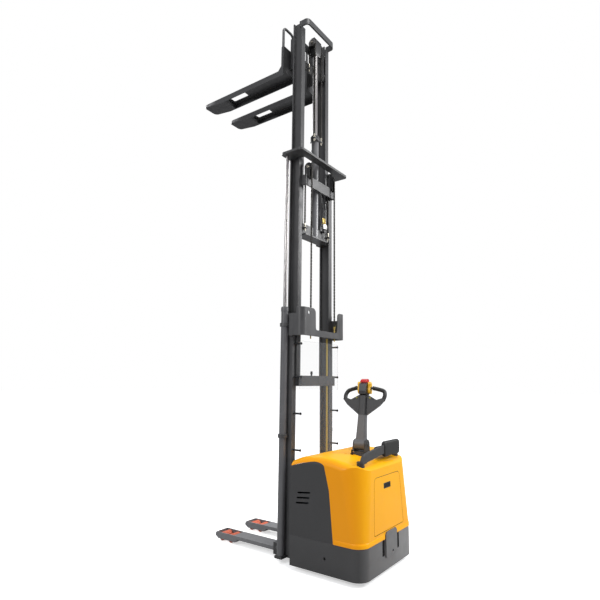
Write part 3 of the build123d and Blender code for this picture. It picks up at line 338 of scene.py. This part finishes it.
# ---- Materials, by the record's slot names and a few finer ones ------------
MATERIALS = {
    # The hood's amber carries painted shade low down and on its flanks, and a faint painted highlight on its
    # edges.
    "hood_plastic": moulded("hood_amber", (0.94, 0.435, 0.0), 0.36, grain=0.00002, grain_scale=1300,
                            coat=0.12, shade=hood_painted_shade, edge_highlight=0.05, shine=0.22),
    "panel_plastic": moulded("panel_grey", (0.038, 0.038, 0.039), 0.5, grain=0.00018, grain_scale=700),
    "dark_paint": painted("mast_paint", (0.040, 0.040, 0.041), shade=mast_tone),
    "middle_paint": painted("middle_mast_paint", (0.047, 0.047, 0.048), shade=middle_tone),
    "beam_paint": painted("outer_mast_paint", (0.070, 0.070, 0.072), 0.4, shade=mast_tone),
    # The skirt's paint carries painted light on its rear faces.
    "skirt_paint": painted("skirt_paint", (0.038, 0.038, 0.039), peel=0.0001, coat=0.3, shade=skirt_painted_light),
    "plate_paint": painted("plate_paint", (0.125, 0.125, 0.126), 0.4, peel=0.0001, coat=0.2),
    "fork_paint": painted("fork_paint", (0.030, 0.030, 0.031), wear=0.9, shade=fork_tone),
    "mid_paint": painted("grey_paint", (0.15, 0.15, 0.155), 0.45, wear=0.6),
    "leg_paint": painted("leg_paint", (0.17, 0.17, 0.175), 0.45, wear=0.6),
    "barrel_paint": painted("barrel_paint", (0.16, 0.16, 0.165), 0.38, wear=0.4, shade=barrel_tone),
    "side_barrel_paint": painted("side_barrel_paint", (0.11, 0.11, 0.115), 0.36, wear=0.4),
    "zinc": bare_metal("zinc_plate", (0.62, 0.58, 0.48), 0.35, stretch=(1, 1, 0.2), brush=300),
    "chrome": polished("hard_chrome", (0.36, 0.345, 0.34), 0.3),
    "bare_steel": bare_metal("oiled_steel", (0.30, 0.29, 0.28), 0.38, stretch=(0.2, 1, 1), brush=350,
                             wear=0.5, oil=0.7),
    "clear_sheet": clear_sheet("clear_guard"),
    "black_plastic": moulded("black_nylon", (0.012, 0.012, 0.013), 0.42, grain_scale=800),
    "soft_black": rubbery("soft_black_foam", (0.008, 0.008, 0.008), 0.55, grain_scale=520, dust=0.04),
    "yellow_hose": painted("pipe_yellow", (0.50, 0.36, 0.06), 0.35, wear=0.3),
    "roller_pu": rubbery("red_polyurethane", (0.62, 0.13, 0.06), 0.42, grain_scale=260, dust=0.2, sss=0.08),
    "tyre_rubber": rubbery("tyre_compound", (0.03, 0.03, 0.031), 0.7, grain_scale=300, dust=0.5),
    # The tiller's edges carry a strong painted highlight.
    "tiller_plastic": moulded("tiller_grey", (0.034, 0.034, 0.035), 0.42, grain=0.0002, grain_scale=650,
                              shade=tiller_tone, edge_highlight=0.6),
    "yellow_plastic": moulded("paddle_yellow", (0.86, 0.48, 0.02), 0.3, grain=0.00006, coat=0.4),
    "red_plastic": moulded("stop_red", (0.55, 0.012, 0.01), 0.28, grain=0.00005, coat=0.5),
    "battery_case": painted("battery_case", (0.03, 0.045, 0.06), 0.5, wear=0.6),
    "cast_drive": painted("cast_drive", (0.05, 0.05, 0.05), 0.6, wear=0.3, peel=0.0006),
    "chain_steel": bare_metal("oiled_chain", (0.055, 0.053, 0.05), 0.45, stretch=(1, 1, 1), brush=700,
                              wear=0.9, oil=0.6),
    "button_olive": moulded("button_olive", (0.30, 0.27, 0.03), 0.4, grain=0.00005),
    "gauge_glass": moulded("gauge_glass", (0.004, 0.004, 0.004), 0.3, grain=0.0, edge_highlight=0.0, shine=0.15),
    "valve": bare_metal("valve_block", (0.55, 0.55, 0.53), 0.4, stretch=(1, 0.2, 1), brush=300),
    "brass_plate": bare_metal("yellow_zinc", (0.70, 0.52, 0.16), 0.32, stretch=(1, 1, 0.2), brush=300),
    "hose": rubbery("hydraulic_hose", (0.012, 0.012, 0.012), 0.5, grain_scale=500, dust=0.1),
    # near-black for painted shade in the door seam, behind the door and inside the skirt's openings
    "recess": moulded("painted_shade_black", (0.006, 0.006, 0.006), 0.8, grain_scale=500),
    "crosshead_black": painted("crosshead_black", (0.016, 0.016, 0.017), 0.5, wear=0.3),
}
# CAD nodes whose material is finer than their slot's.
FINISH = {
    "lift_buttons": "button_olive",
    "lower_buttons": "black_plastic",
    "lift_valve": "valve",
    "chain_bolts_outer": "brass_plate",
    "mast_outer": "beam_paint",
    "mast_middle": "middle_paint",
    "skirt": "skirt_paint",
    "coupling_plate": "plate_paint",
    "fork_left": "fork_paint",
    "fork_right": "fork_paint",
    "support_legs": "leg_paint",
    "free_lift_barrel": "barrel_paint",
    "lift_cylinders": "side_barrel_paint",
}


def finish_of(node):
    """The material that a CAD node wears."""
    return FINISH.get(node, SLOT[node])


# ---- Mesh helpers ----------------------------------------------------------
def dress(piece, material, body):
    """Give a new piece its material and, when a body is given, its body; a chain strand between two bodies gets
    none.
    """
    piece.data.materials.clear()
    piece.data.materials.append(MATERIALS[material])
    if body:
        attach(piece, body)
    return piece


def soften(mesh, degrees):
    """Smooth shading, with edges over the angle kept sharp."""
    for face in mesh.polygons:
        face.use_smooth = True
    bm = bmesh.new()
    bm.from_mesh(mesh)
    for edge in bm.edges:
        edge.smooth = len(edge.link_faces) == 2 and edge.calc_face_angle(0.0) < math.radians(degrees)
    bm.to_mesh(mesh)
    bm.free()


def from_bmesh(name, bm, smooth):
    """A new object from a bmesh, shaded smooth except over edges sharper than an angle in degrees."""
    bmesh.ops.recalc_face_normals(bm, faces=bm.faces)
    mesh = bpy.data.meshes.new(name)
    bm.to_mesh(mesh)
    bm.free()
    piece = bpy.data.objects.new(name, mesh)
    scene.collection.objects.link(piece)
    soften(mesh, smooth)
    return piece


def apply_modifiers(piece):
    """Bake a piece's modifiers into its mesh."""
    graph = bpy.context.evaluated_depsgraph_get()
    mesh = bpy.data.meshes.new_from_object(piece.evaluated_get(graph))
    piece.modifiers.clear()
    piece.data = mesh


def add_bevel(piece, width, segments, degrees):
    """Round every edge sharper than an angle."""
    rounding = piece.modifiers.new("rounding", "BEVEL")
    rounding.width = width
    rounding.segments = segments
    rounding.limit_method = "ANGLE"
    rounding.angle_limit = math.radians(degrees)
    apply_modifiers(piece)


def refined(node, bevel):
    """A CAD node with merged faces, real rounded corners and smooth curves; it stands for the node."""
    weld, flat, sharp = 1e-5, math.radians(0.6), 32
    bm = bmesh.new()
    bm.from_mesh(NODES[node].data)
    bmesh.ops.remove_doubles(bm, verts=bm.verts, dist=weld)
    bmesh.ops.dissolve_limit(
        bm, angle_limit=flat, verts=bm.verts, edges=bm.edges, use_dissolve_boundaries=False
    )
    piece = from_bmesh(node + "_shell", bm, sharp)
    if bevel:
        add_bevel(piece, bevel, 2, sharp)
        soften(piece.data, sharp + 20)
    piece.modifiers.new("weights", "WEIGHTED_NORMAL").keep_sharp = True
    apply_modifiers(piece)
    dress(piece, finish_of(node), BODY[node])
    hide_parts(node)
    return piece


def frame_of(direction):
    """A direction and two axes square to it."""
    d = Vector(direction).normalized()
    side = Vector((0, 0, 1)) if abs(d.z) < 0.9 else Vector((1, 0, 0))
    a = d.cross(side).normalized()
    return d, a, d.cross(a)


def circle(bm, centre, a, b, radius, sides):
    """A ring of points about a centre, in the plane of two axes."""
    turns = (2 * math.pi * k / sides for k in range(sides))
    return [bm.verts.new(centre + (a * math.cos(t) + b * math.sin(t)) * radius) for t in turns]


def bridge(bm, a, b):
    """A closed band of faces between two rings of points."""
    for k in range(len(a)):
        bm.faces.new((a[k - 1], a[k], b[k], b[k - 1]))


def lofted(bm, rings):
    """A closed solid through a row of rings."""
    for a, b in zip(rings, rings[1:]):
        bridge(bm, a, b)
    bm.faces.new(rings[0][::-1])
    bm.faces.new(rings[-1])


def turned(bm, at, direction, profile, sides=24):
    """A closed solid of revolution: profile is (distance along, radius) pairs from one end to the other."""
    d, a, b = frame_of(direction)
    lofted(bm, [circle(bm, Vector(at) + d * along, a, b, radius, sides) for along, radius in profile])


def prism(bm, outline, low, high, place):
    """A closed prism: place(u, v, w) puts outline point (u, v) at depth w."""
    lofted(bm, [[bm.verts.new(place(u, v, depth)) for u, v in outline] for depth in (low, high)])


def across(u, v, w):
    """An outline in the side plane, deep along X."""
    return w, u, v


def facing_rear(u, v, w):
    """An outline in the rear plane, deep along Y."""
    return u, w, v


def tube(bm, points, radius, sides=16):
    """A round hose through a row of points, on a smooth curve between them."""
    steps = 8
    line = []
    knots = [Vector(point) for point in points]
    padded = [knots[0]] + knots + [knots[-1]]
    for p0, p1, p2, p3 in zip(padded, padded[1:], padded[2:], padded[3:]):
        for k in range(steps):
            t = k / steps
            square = 2 * p0 - 5 * p1 + 4 * p2 - p3
            cube = 3 * p1 - p0 - 3 * p2 + p3
            line.append(0.5 * (2 * p1 + (p2 - p0) * t + square * t * t + cube * t ** 3))
    line.append(knots[-1])
    rings = []
    a = None
    for k, centre in enumerate(line):
        d = (line[min(k + 1, len(line) - 1)] - line[max(k - 1, 0)]).normalized()
        a = (a - d * a.dot(d)).normalized() if a else frame_of(d)[1]
        rings.append(circle(bm, centre, a, d.cross(a), radius, sides))
    lofted(bm, rings)


def rounded_outline(half_u, half_v, radius):
    """A rectangle with round corners, about the origin."""
    steps = 5
    points = []
    for side_u, side_v, start in ((1, 1, 0), (-1, 1, 90), (-1, -1, 180), (1, -1, 270)):
        for k in range(steps + 1):
            t = math.radians(start + 90 * k / steps)
            u = side_u * (half_u - radius) + radius * math.cos(t)
            points.append((u, side_v * (half_v - radius) + radius * math.sin(t)))
    return points


# ---- Lift chains -----------------------------------------------------------
LINK_PITCH = 0.0148
LINK_RADIUS = 0.0062
LINK_LAYERS = 5
PIN_OVERHANG = 0.0015
PLATE_GAP = 0.0001
WRAP_STEPS = 8


def link_outline(a, b):
    """A waisted link plate round two pins, in the plane."""
    steps, waist = 5, LINK_RADIUS * 0.72
    heading = math.atan2(b[1] - a[1], b[0] - a[0])
    middle = ((a[0] + b[0]) / 2, (a[1] + b[1]) / 2)
    points = []
    for centre, start in ((b, heading - math.pi / 2), (a, heading + math.pi / 2)):
        for k in range(steps + 1):
            t = start + math.pi * k / steps
            points.append((centre[0] + LINK_RADIUS * math.cos(t), centre[1] + LINK_RADIUS * math.sin(t)))
        side = start + math.pi
        points.append((middle[0] + waist * math.cos(side), middle[1] + waist * math.sin(side)))
    return points


def leaf_chain(name, offset, pins, width):
    """Two leaf chains, each side of the middle, through pins at (y, z): stacked plates and riveted pins."""
    thick = (width - 2 * PIN_OVERHANG) / LINK_LAYERS
    rivet = [(0, 0.0019), (0.0006, 0.0024), (width - 0.0006, 0.0024), (width, 0.0019)]
    bm = bmesh.new()
    for x in (-offset, offset):
        for index, (a, b) in enumerate(zip(pins, pins[1:])):
            for layer in range(index % 2, LINK_LAYERS, 2):
                low = x - width / 2 + PIN_OVERHANG + layer * thick
                prism(bm, link_outline(a, b), low + PLATE_GAP, low + thick - PLATE_GAP, across)
        for y, z in pins:
            turned(bm, (x - width / 2, y, z), (1, 0, 0), rivet, 8)
    return from_bmesh(name, bm, 30)


def strand(name, node, offset):
    """A straight pair of chains over a CAD strand between its two bodies; it is baked in place and attached to
    neither.
    """
    low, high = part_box(node)
    y = (low[1] + high[1]) / 2
    width = high[0] - low[0] - 2 * offset
    length = high[2] - low[2]
    count = max(4, round(length / LINK_PITCH))
    pins = [(y, low[2] + length * k / count) for k in range(count + 1)]
    pins[0] = (y, low[2] + 0.005)
    piece = leaf_chain(name, offset, pins, width)
    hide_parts(node)
    dress(piece, "chain_steel", None)
    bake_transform(piece)


def wrap(name, offset, centre, radius, width, body):
    """The half turn of chain over a pair of sheaves."""
    turns = [math.pi * k / WRAP_STEPS for k in range(WRAP_STEPS + 1)]
    pins = [(centre[0] - radius * math.cos(t), centre[1] + radius * math.sin(t)) for t in turns]
    dress(leaf_chain(name, offset, pins, width), "chain_steel", body)


def make_chains():
    """All lift chains, drawn as leaf chain over the CAD strands."""
    strand("mast_chain_rear_links", "mast_chains_rear", MAST_CHAIN_X)
    strand("mast_chain_front_links", "mast_chains_front", MAST_CHAIN_X)
    strand("carriage_chain_rear_links", "carriage_chains_rear", CARRIAGE_CHAIN_X)
    strand("carriage_chain_front_links", "carriage_chains_front", CARRIAGE_CHAIN_X)
    wrap("mast_chain_wrap_links", MAST_CHAIN_X, (SHEAVE_Y, SHEAVE_Z), 0.038, 0.016, "mast_middle")
    wrap("carriage_chain_wrap_links", CARRIAGE_CHAIN_X, (CROSSHEAD_Y, CROSSHEAD_Z), 0.036, 0.014, "free_lift")


# ---- Guard pads ------------------------------------------------------------
def rounded_corner(x, z, inner_x, inner_z):
    """A point near the corner of a square outline, drawn in onto a round one."""
    dx, dz = max(abs(x) - inner_x, 0), max(abs(z) - inner_z, 0)
    if dx == 0 or dz == 0:
        return x, z
    scale = max(dx, dz) / math.hypot(dx, dz)
    return math.copysign(inner_x + dx * scale, x), math.copysign(inner_z + dz * scale, z)


def soft_pad(node):
    """A foam pad: rounded all round and slightly crowned on its long faces."""
    corner, crown_depth, edge_radius, whole_edge = 0.028, 0.003, 0.012, 1.9
    low, high = [Vector(c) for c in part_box(node)]
    middle, half = (low + high) / 2, (high - low) / 2
    bm = bmesh.new()
    bmesh.ops.create_cube(bm, size=2)
    for axis, cuts in ((0, 10), (2, 5), (1, 2)):
        run = [e for e in bm.edges if abs((e.verts[0].co - e.verts[1].co)[axis]) > whole_edge]
        bmesh.ops.subdivide_edges(bm, edges=run, cuts=cuts, use_grid_fill=True)
    for v in bm.verts:
        x, z = rounded_corner(v.co.x * half.x, v.co.z * half.z, half.x - corner, half.z - corner)
        crown = (1 - v.co.x ** 2) * (1 - v.co.z ** 2)
        depth = half.y - crown_depth + crown_depth * min(1, crown * 2)
        v.co = middle + Vector((x, v.co.y * depth, z))
    piece = from_bmesh(node + "_foam", bm, 180)
    add_bevel(piece, edge_radius, 4, 50)
    soften(piece.data, 80)
    dress(piece, "soft_black", BODY[node])
    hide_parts(node)


# ---- Screws and bolts ------------------------------------------------------
def hex_bolt(bm, at, direction):
    """A washer and a chamfered hexagon head standing on a face."""
    size, height, washer = 0.016, 0.008, 0.0015
    corner = size * 0.577
    turned(bm, at, direction, [(-0.0005, size * 0.78), (washer, size * 0.78), (0.0018, size * 0.74)])
    turned(bm, at, direction, [(washer, corner), (height * 0.8, corner), (height, corner * 0.86)], 6)


def cap_screw(bm, at, direction):
    """A round socket-head screw."""
    r, h = 0.0065, 0.004
    socket = [(h, r * 0.5), (h * 0.45, r * 0.48), (h * 0.44, r * 0.05)]
    turned(bm, at, direction, [(-0.0005, r), (h * 0.8, r), (h, r * 0.85)] + socket, 20)


def make_fasteners():
    """Screws and bolts that hold the visible plates."""
    stud_x, stud_levels = 0.290, (0.88, 1.18, 1.49, 1.775)
    stud_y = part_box("screen_standoffs")[0][1]
    bm = bmesh.new()
    for side in (-1, 1):
        for z in stud_levels:
            cap_screw(bm, (side * stud_x, stud_y, z), (0, -1, 0))
    dress(from_bmesh("screen_screws", bm, 30), "black_plastic", "chassis")
    for name, body, x, y, z in (
        ("sheave_pin_bolts", "mast_middle", 0.2125, SHEAVE_Y, SHEAVE_Z),
        ("crosshead_pin_bolts", "free_lift", 0.072, CROSSHEAD_Y, CROSSHEAD_Z),
    ):
        bm = bmesh.new()
        for side in (-1, 1):
            hex_bolt(bm, (side * x, y, z), (side, 0, 0))
        dress(from_bmesh(name, bm, 30), "zinc", body)


# ---- Details of the hood and skirt -----------------------------------------
def make_charge_window():
    """The battery gauge in the rear door: a glossy black pane in a thin bezel."""
    middle_x, middle_z = -0.010, 0.643
    pane, rim, opening = (0.0585, 0.0205, 0.004), (0.0588, 0.0208, 0.004), (0.053, 0.016, 0.003)

    def place(u, v, w):
        return on_rear(middle_x + u, middle_z + v, w)

    bm = bmesh.new()
    prism(bm, rounded_outline(*pane), 0.0012, 0.0055, place)
    dress(from_bmesh("gauge_pane", bm, 30), "gauge_glass", "chassis")
    bm = bmesh.new()
    loops = []
    for outline, depth in ((rim, 0.004), (rim, 0.0), (opening, 0.0), (opening, 0.004)):
        loops.append([bm.verts.new(place(u, v, depth)) for u, v in rounded_outline(*outline)])
    for a, b in zip(loops, loops[1:] + loops[:1]):
        bridge(bm, a, b)
    dress(from_bmesh("gauge_bezel", bm, 30), "black_plastic", "chassis")


def lip_path(side, end_x):
    """The hood's foot line on one side, from its flank round the rear corner to the coupling plate."""
    steps, front_y = 12, -0.800
    corner_x, corner_y = HALF_WIDTH - FOOT_CORNER, REAR_Y + FOOT_CORNER
    path = [Vector((side * HALF_WIDTH, front_y)), Vector((side * HALF_WIDTH, corner_y))]
    for k in range(1, steps + 1):
        t = math.pi / 2 * k / steps
        out_x = corner_x + FOOT_CORNER * math.cos(t)
        path.append(Vector((side * out_x, corner_y - FOOT_CORNER * math.sin(t))))
    return path + [Vector((end_x, REAR_Y))]


def make_hood_lip():
    """The raised lip round the foot of the hood, open where the coupling plate stands."""
    section = ((-0.004, 0.0005), (0.003, 0.0005), (0.003, 0.028), (-0.0005, 0.033), (-0.004, 0.033))
    for name, side, end_x in (("hood_lip_left", -1, -0.089), ("hood_lip_right", 1, 0.113)):
        path = lip_path(side, end_x)
        bm = bmesh.new()
        rings = []
        for k, spot in enumerate(path):
            ahead = path[min(k + 1, len(path) - 1)] - path[max(k - 1, 0)]
            out = Vector((-ahead.y, ahead.x)).normalized() * side
            line = [(spot + out * proud, rise) for proud, rise in section]
            rings.append([
                bm.verts.new((at.x, at.y + rise * REAR_SLOPE, HOOD_FOOT + rise)) for at, rise in line
            ])
        lofted(bm, rings)
        dress(from_bmesh(name, bm, 40), "hood_plastic", "chassis")


def make_skirt_recess():
    """Dark barred pockets behind the skirt's two rear openings, and a dark disc behind its side hole: painted
    shade inside the openings.
    """
    back, bar_depth = (-1.0295, -1.0265), (-1.0350, -1.0290)
    half, foot, head = 0.025, 0.136, 0.2595
    bar_half, bar_height = 0.024, 0.006
    bm = bmesh.new()
    for x in (-0.112, 0.137):
        pocket = [(x - half, foot), (x + half, foot), (x + half, head), (x - half, head)]
        prism(bm, pocket, *back, facing_rear)
        for low in (0.155, 0.180, 0.205, 0.230):
            high = low + bar_height
            bar = [(x - bar_half, low), (x + bar_half, low), (x + bar_half, high), (x - bar_half, high)]
            prism(bm, bar, *bar_depth, facing_rear)
    turned(bm, (-0.4195, -0.710, 0.146), (1, 0, 0), [(0, 0.016), (0.003, 0.016)])
    dress(from_bmesh("skirt_pocket_shade", bm, 30), "recess", "chassis")


def door_outline(inset):
    """The rear door's outline along its leaning plane, set in all round: narrow at the top, corners round."""
    steps, half_low, half_high, low, high = 8, 0.252, 0.222, 0.312, 0.722
    taper = math.atan2(half_low - half_high, high - low)
    right = []
    for half, level, radius, rise, start, stop in (
        (half_low, low, 0.012, 1, -math.pi / 2, taper),
        (half_high, high, 0.046, -1, taper, math.pi / 2),
    ):
        reach = radius * math.tan((stop - start) / 2)
        for k in range(steps + 1):
            t = start + (stop - start) * k / steps
            u = half - reach + (radius - inset) * math.cos(t)
            right.append((u, level + rise * radius + (radius - inset) * math.sin(t)))
    return right + [(-u, v) for u, v in reversed(right)]


def make_door_seam_shade():
    """A dark ring standing in the seam round the rear door: painted shade in the gap."""
    outer, inner, front, back = 0.0004, 0.0036, 0.0014, 0.0050
    upright = math.cos(math.atan(REAR_SLOPE))
    bm = bmesh.new()
    loops = []
    for inset, depth in ((outer, front), (inner, front), (inner, back), (outer, back)):
        loops.append([bm.verts.new(on_rear(u, v * upright, depth)) for u, v in door_outline(inset)])
    for a, b in zip(loops, loops[1:] + loops[:1]):
        bridge(bm, a, b)
    dress(from_bmesh("door_seam_shade", bm, 30), "recess", "chassis")


def make_door_backing():
    """A dark sheet behind the rear door, seen as a line all round it: painted shade in the seam."""
    right = [(0.262, 0.304), (0.246, 0.690), (0.200, 0.733)]
    bm = bmesh.new()
    prism(bm, right + [(-u, v) for u, v in reversed(right)], 0.0125, 0.0145, on_rear)
    dress(from_bmesh("door_shade_backing", bm, 30), "recess", "chassis")


# ---- Details of the tiller and mast ----------------------------------------
def make_handle_covers():
    """Moulded covers over the handle bows, with a ring at the inner end of each."""
    bow_line = (
        (0.176, -0.008, 0.366), (0.184, -0.026, 0.410), (0.168, -0.043, 0.447),
        (0.120, -0.032, 0.462), (0.078, -0.015, 0.469),
    )
    cover_radius, ring_radius, ring_inset, ring_length = 0.0172, 0.0185, 0.004, 0.006
    bm = bmesh.new()
    for side in (-1, 1):
        bow = [tiller_point(side * x, y, z) for x, y, z in bow_line]
        tube(bm, bow, cover_radius, 20)
        end = bow[-1] - bow[-2]
        start = bow[-1] - end.normalized() * ring_inset
        turned(bm, start, end, [(0, ring_radius), (ring_length, ring_radius)], 20)
    piece = dress(from_bmesh("handle_covers", bm, 45), "soft_black", "tiller")
    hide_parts("handle_grips")


def make_knob():
    """A small black knob on the lower cross bar of the middle stage."""
    profile = [(0, 0.008), (0.012, 0.008), (0.016, 0.011), (0.036, 0.010), (0.040, 0.006)]
    bm = bmesh.new()
    turned(bm, (-0.111, -0.350, 1.4995), (0, 0, 1), profile, 20)
    dress(from_bmesh("crossbar_knob", bm, 40), "black_plastic", "mast_middle")


PORT_Y = -0.323
LEFT_PORT, RIGHT_PORT = 0.104, 0.132


def make_valve_hoses():
    """Short hydraulic hoses on the lift valve: two rise from its ports and one leaves its side."""
    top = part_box("lift_valve")[1][2]
    bm = bmesh.new()
    for x, end_z, bow in ((LEFT_PORT, 3.34, -0.028), (RIGHT_PORT, 3.30, 0.022)):
        rise = [(x, PORT_Y, top - 0.004), (x, -0.324, top + 0.07), (x + bow, -0.330, top + 0.16)]
        turn_in = [(x + bow * 0.4, -0.318, end_z - 0.09), (x * 0.86, -0.302, end_z)]
        tube(bm, rise + turn_in, 0.0058)
    leave = [(0.09, PORT_Y, 2.945), (0.064, -0.326, 2.95), (0.048, -0.322, 3.02)]
    climb = [(0.052, -0.315, 3.10), (0.044, -0.30, 3.16)]
    tube(bm, leave + climb, 0.0055)
    dress(from_bmesh("valve_hoses", bm, 60), "hose", "mast_inner")


def make_valve_fittings():
    """Two plated fittings on the lift valve, each a pair of nuts under a ferrule, and its black solenoid."""
    bm = bmesh.new()
    for x in (LEFT_PORT, RIGHT_PORT):
        turned(bm, (x, PORT_Y, 2.972), (0, 0, 1), [(0, 0.0125), (0.010, 0.0125), (0.012, 0.0115)], 6)
        turned(bm, (x, PORT_Y, 2.984), (0, 0, 1), [(0, 0.0112), (0.014, 0.0112), (0.016, 0.010)], 6)
        turned(bm, (x, PORT_Y, 3.0), (0, 0, 1), [(0, 0.0086), (0.034, 0.0086), (0.036, 0.0075)], 16)
    dress(from_bmesh("valve_fittings", bm, 30), "brass_plate", "mast_inner")
    solenoid = [(0, 0.013), (0.003, 0.0185), (0.036, 0.0185), (0.040, 0.016)]
    bm = bmesh.new()
    turned(bm, (0.108, PORT_Y, 2.885), (0, 0, 1), solenoid)
    dress(from_bmesh("valve_solenoid", bm, 40), "black_plastic", "mast_inner")


def make_free_lift_rod():
    """The free-lift rod is chrome below its black crosshead."""
    crosshead_foot = 4.7555
    piece = refined("free_lift_rod", 0.002)
    piece.data.materials.append(MATERIALS["crosshead_black"])
    for face in piece.data.polygons:
        if face.center.z > crosshead_foot:
            face.material_index = 1


# ---- The whole truck -------------------------------------------------------
# CAD nodes drawn with rounded corners, and the width of the rounding; the others keep their CAD mesh.
ROUNDING = {
    "chassis_frame": 0.0, "battery": 0.002, "pump_unit": 0.002, "turret": 0.001, "drive_unit": 0.001,
    "hood": 0.0, "side_panels": 0.0008, "rear_door": 0.0008, "skirt": 0.0015, "coupling_plate": 0.0015,
    "mast_outer": 0.0014, "mast_middle": 0.0014, "mast_inner": 0.0014, "free_lift_barrel": 0.0015,
    "lift_cylinders": 0.001, "lift_rods": 0.0008, "carriage": 0.0016, "fork_left": 0.002,
    "fork_right": 0.002, "support_legs": 0.0018, "load_rollers_rear": 0.0008, "load_rollers_front": 0.0008,
    "tiller_arm": 0.003, "tiller_head": 0.002, "belly_button": 0.003, "throttle": 0.0022,
    "guard_arm_left": 0.0025, "guard_arm_right": 0.0025, "emergency_stop": 0.0012, "lift_valve": 0.0012,
    "drive_wheel": 0.001, "caster_wheel_left": 0.001, "caster_wheel_right": 0.001,
    "caster_fork_left": 0.001, "caster_fork_right": 0.001, "mast_sheaves": 0.0004,
    "crosshead_sheaves": 0.0004,
}


def paint_nodes():
    """Every CAD node wears its finish, whether or not a piece stands for it."""
    for node, made in NODES.items():
        made.data.materials.clear()
        made.data.materials.append(MATERIALS[finish_of(node)])


def make_object():
    """Everything that is part of the truck."""
    paint_nodes()
    for node, bevel in ROUNDING.items():
        refined(node, bevel)
    make_free_lift_rod()
    make_chains()
    soft_pad("guard_pad_left")
    soft_pad("guard_pad_right")
    make_fasteners()
    make_charge_window()
    make_handle_covers()
    make_hood_lip()
    make_skirt_recess()
    make_door_backing()
    make_door_seam_shade()
    make_knob()
    make_valve_hoses()
    make_valve_fittings()


# ---- Floor, light and camera -----------------------------------------------
def make_world():
    """White to the camera; to the object, a bright sky over a dim floor, for contrast on its sides."""
    floor_grey, horizon_grey, sky_white = (0.10, 0.10, 0.11, 1), (0.30, 0.30, 0.31, 1), (0.85, 0.86, 0.9, 1)
    world = bpy.data.worlds.new("studio")
    scene.world = world
    world.use_nodes = True
    tree = world.node_tree
    sky = tree.nodes["Background"]
    out = tree.nodes["World Output"]
    kinds = ("TexCoord", "SeparateXYZ", "MapRange", "ValToRGB", "Background", "LightPath", "MixShader")
    where, split, span, ramp, white, path, blend = [tree.nodes.new("ShaderNode" + kind) for kind in kinds]
    span.inputs["From Min"].default_value = -1
    first, last = ramp.color_ramp.elements
    first.color, first.position = floor_grey, 0.42
    last.color, last.position = sky_white, 0.78
    ramp.color_ramp.elements.new(0.52).color = horizon_grey
    sky.inputs["Strength"].default_value = 0.75
    white.inputs["Color"].default_value = (1, 1, 1, 1)
    for source, target in (
        (where.outputs["Generated"], split.inputs[0]),
        (split.outputs[2], span.inputs["Value"]),
        (span.outputs[0], ramp.inputs[0]),
        (ramp.outputs[0], sky.inputs["Color"]),
        (path.outputs["Is Camera Ray"], blend.inputs[0]),
        (sky.outputs[0], blend.inputs[1]),
        (white.outputs[0], blend.inputs[2]),
        (blend.outputs[0], out.inputs["Surface"]),
    ):
        tree.links.new(source, target)


def make_floor():
    """A plain pale floor just under the wheels; it bounces less light than the camera sees."""
    bm = bmesh.new()
    bmesh.ops.create_grid(bm, x_segments=1, y_segments=1, size=60)
    floor = from_bmesh("studio_floor", bm, 35)
    s = Shader("studio_floor")
    seen = s.node("ShaderNodeLightPath").outputs["Is Camera Ray"]
    s.set(Base_Color=s.mix(seen, (0.42, 0.42, 0.42), (0.9, 0.9, 0.9)), Roughness=0.9, Specular_IOR_Level=0.1)
    s.set(Emission_Color=(1, 1, 1), Emission_Strength=s.math("MULTIPLY", seen, 0.55))
    floor.data.materials.append(s.mat)
    floor.location.z = -0.001


def make_lights():
    """Four large soft lamps: name, place, the point each looks at, side of the square, and watts."""
    for name, place, aim, size, power in (
        ("key", (4.6, -6.4, 5.2), (0, -0.8, 0.8), 2.6, 500),
        ("top", (-1.0, -3.0, 9.0), (0, -0.3, 2.5), 3.0, 330),
        ("left", (-6.5, 0.5, 4.5), (0, -0.3, 2.6), 1.2, 150),
        ("back", (1.5, 6.0, 6.5), (0, 0, 3.0), 2.5, 260),
    ):
        lamp = bpy.data.lights.new(name, "AREA")
        lamp.energy = power
        lamp.size = size
        light = bpy.data.objects.new(name, lamp)
        light.location = place
        light.rotation_euler = (Vector(aim) - Vector(place)).to_track_quat("-Z", "Y").to_euler()
        scene.collection.objects.link(light)


def make_camera():
    """The camera, low behind the truck's left side, tilted up a little."""
    at = Vector((-3.62, -2.863, 1.459))
    heading, pitch, roll = math.radians(54.737), math.radians(9.881), math.radians(0.388)
    right = Vector((math.cos(heading), -math.sin(heading), 0))
    level = Vector((math.sin(heading), math.cos(heading), 0))
    ahead = level * math.cos(pitch) + Vector((0, 0, math.sin(pitch)))
    up = right.cross(ahead)
    turned_right = right * math.cos(roll) + up * math.sin(roll)
    turned_up = up * math.cos(roll) - right * math.sin(roll)
    camera = bpy.data.objects.new("camera", bpy.data.cameras.new("camera"))
    camera.data.lens = 28.653
    camera.data.sensor_width = 36
    camera.data.shift_x = -0.02485
    camera.data.shift_y = -0.0046
    axes = Matrix((turned_right, turned_up, -ahead)).transposed()
    camera.matrix_world = Matrix.Translation(at) @ axes.to_4x4()
    scene.collection.objects.link(camera)
    scene.camera = camera


make_object()
make_floor()
make_world()
make_lights()
make_camera()
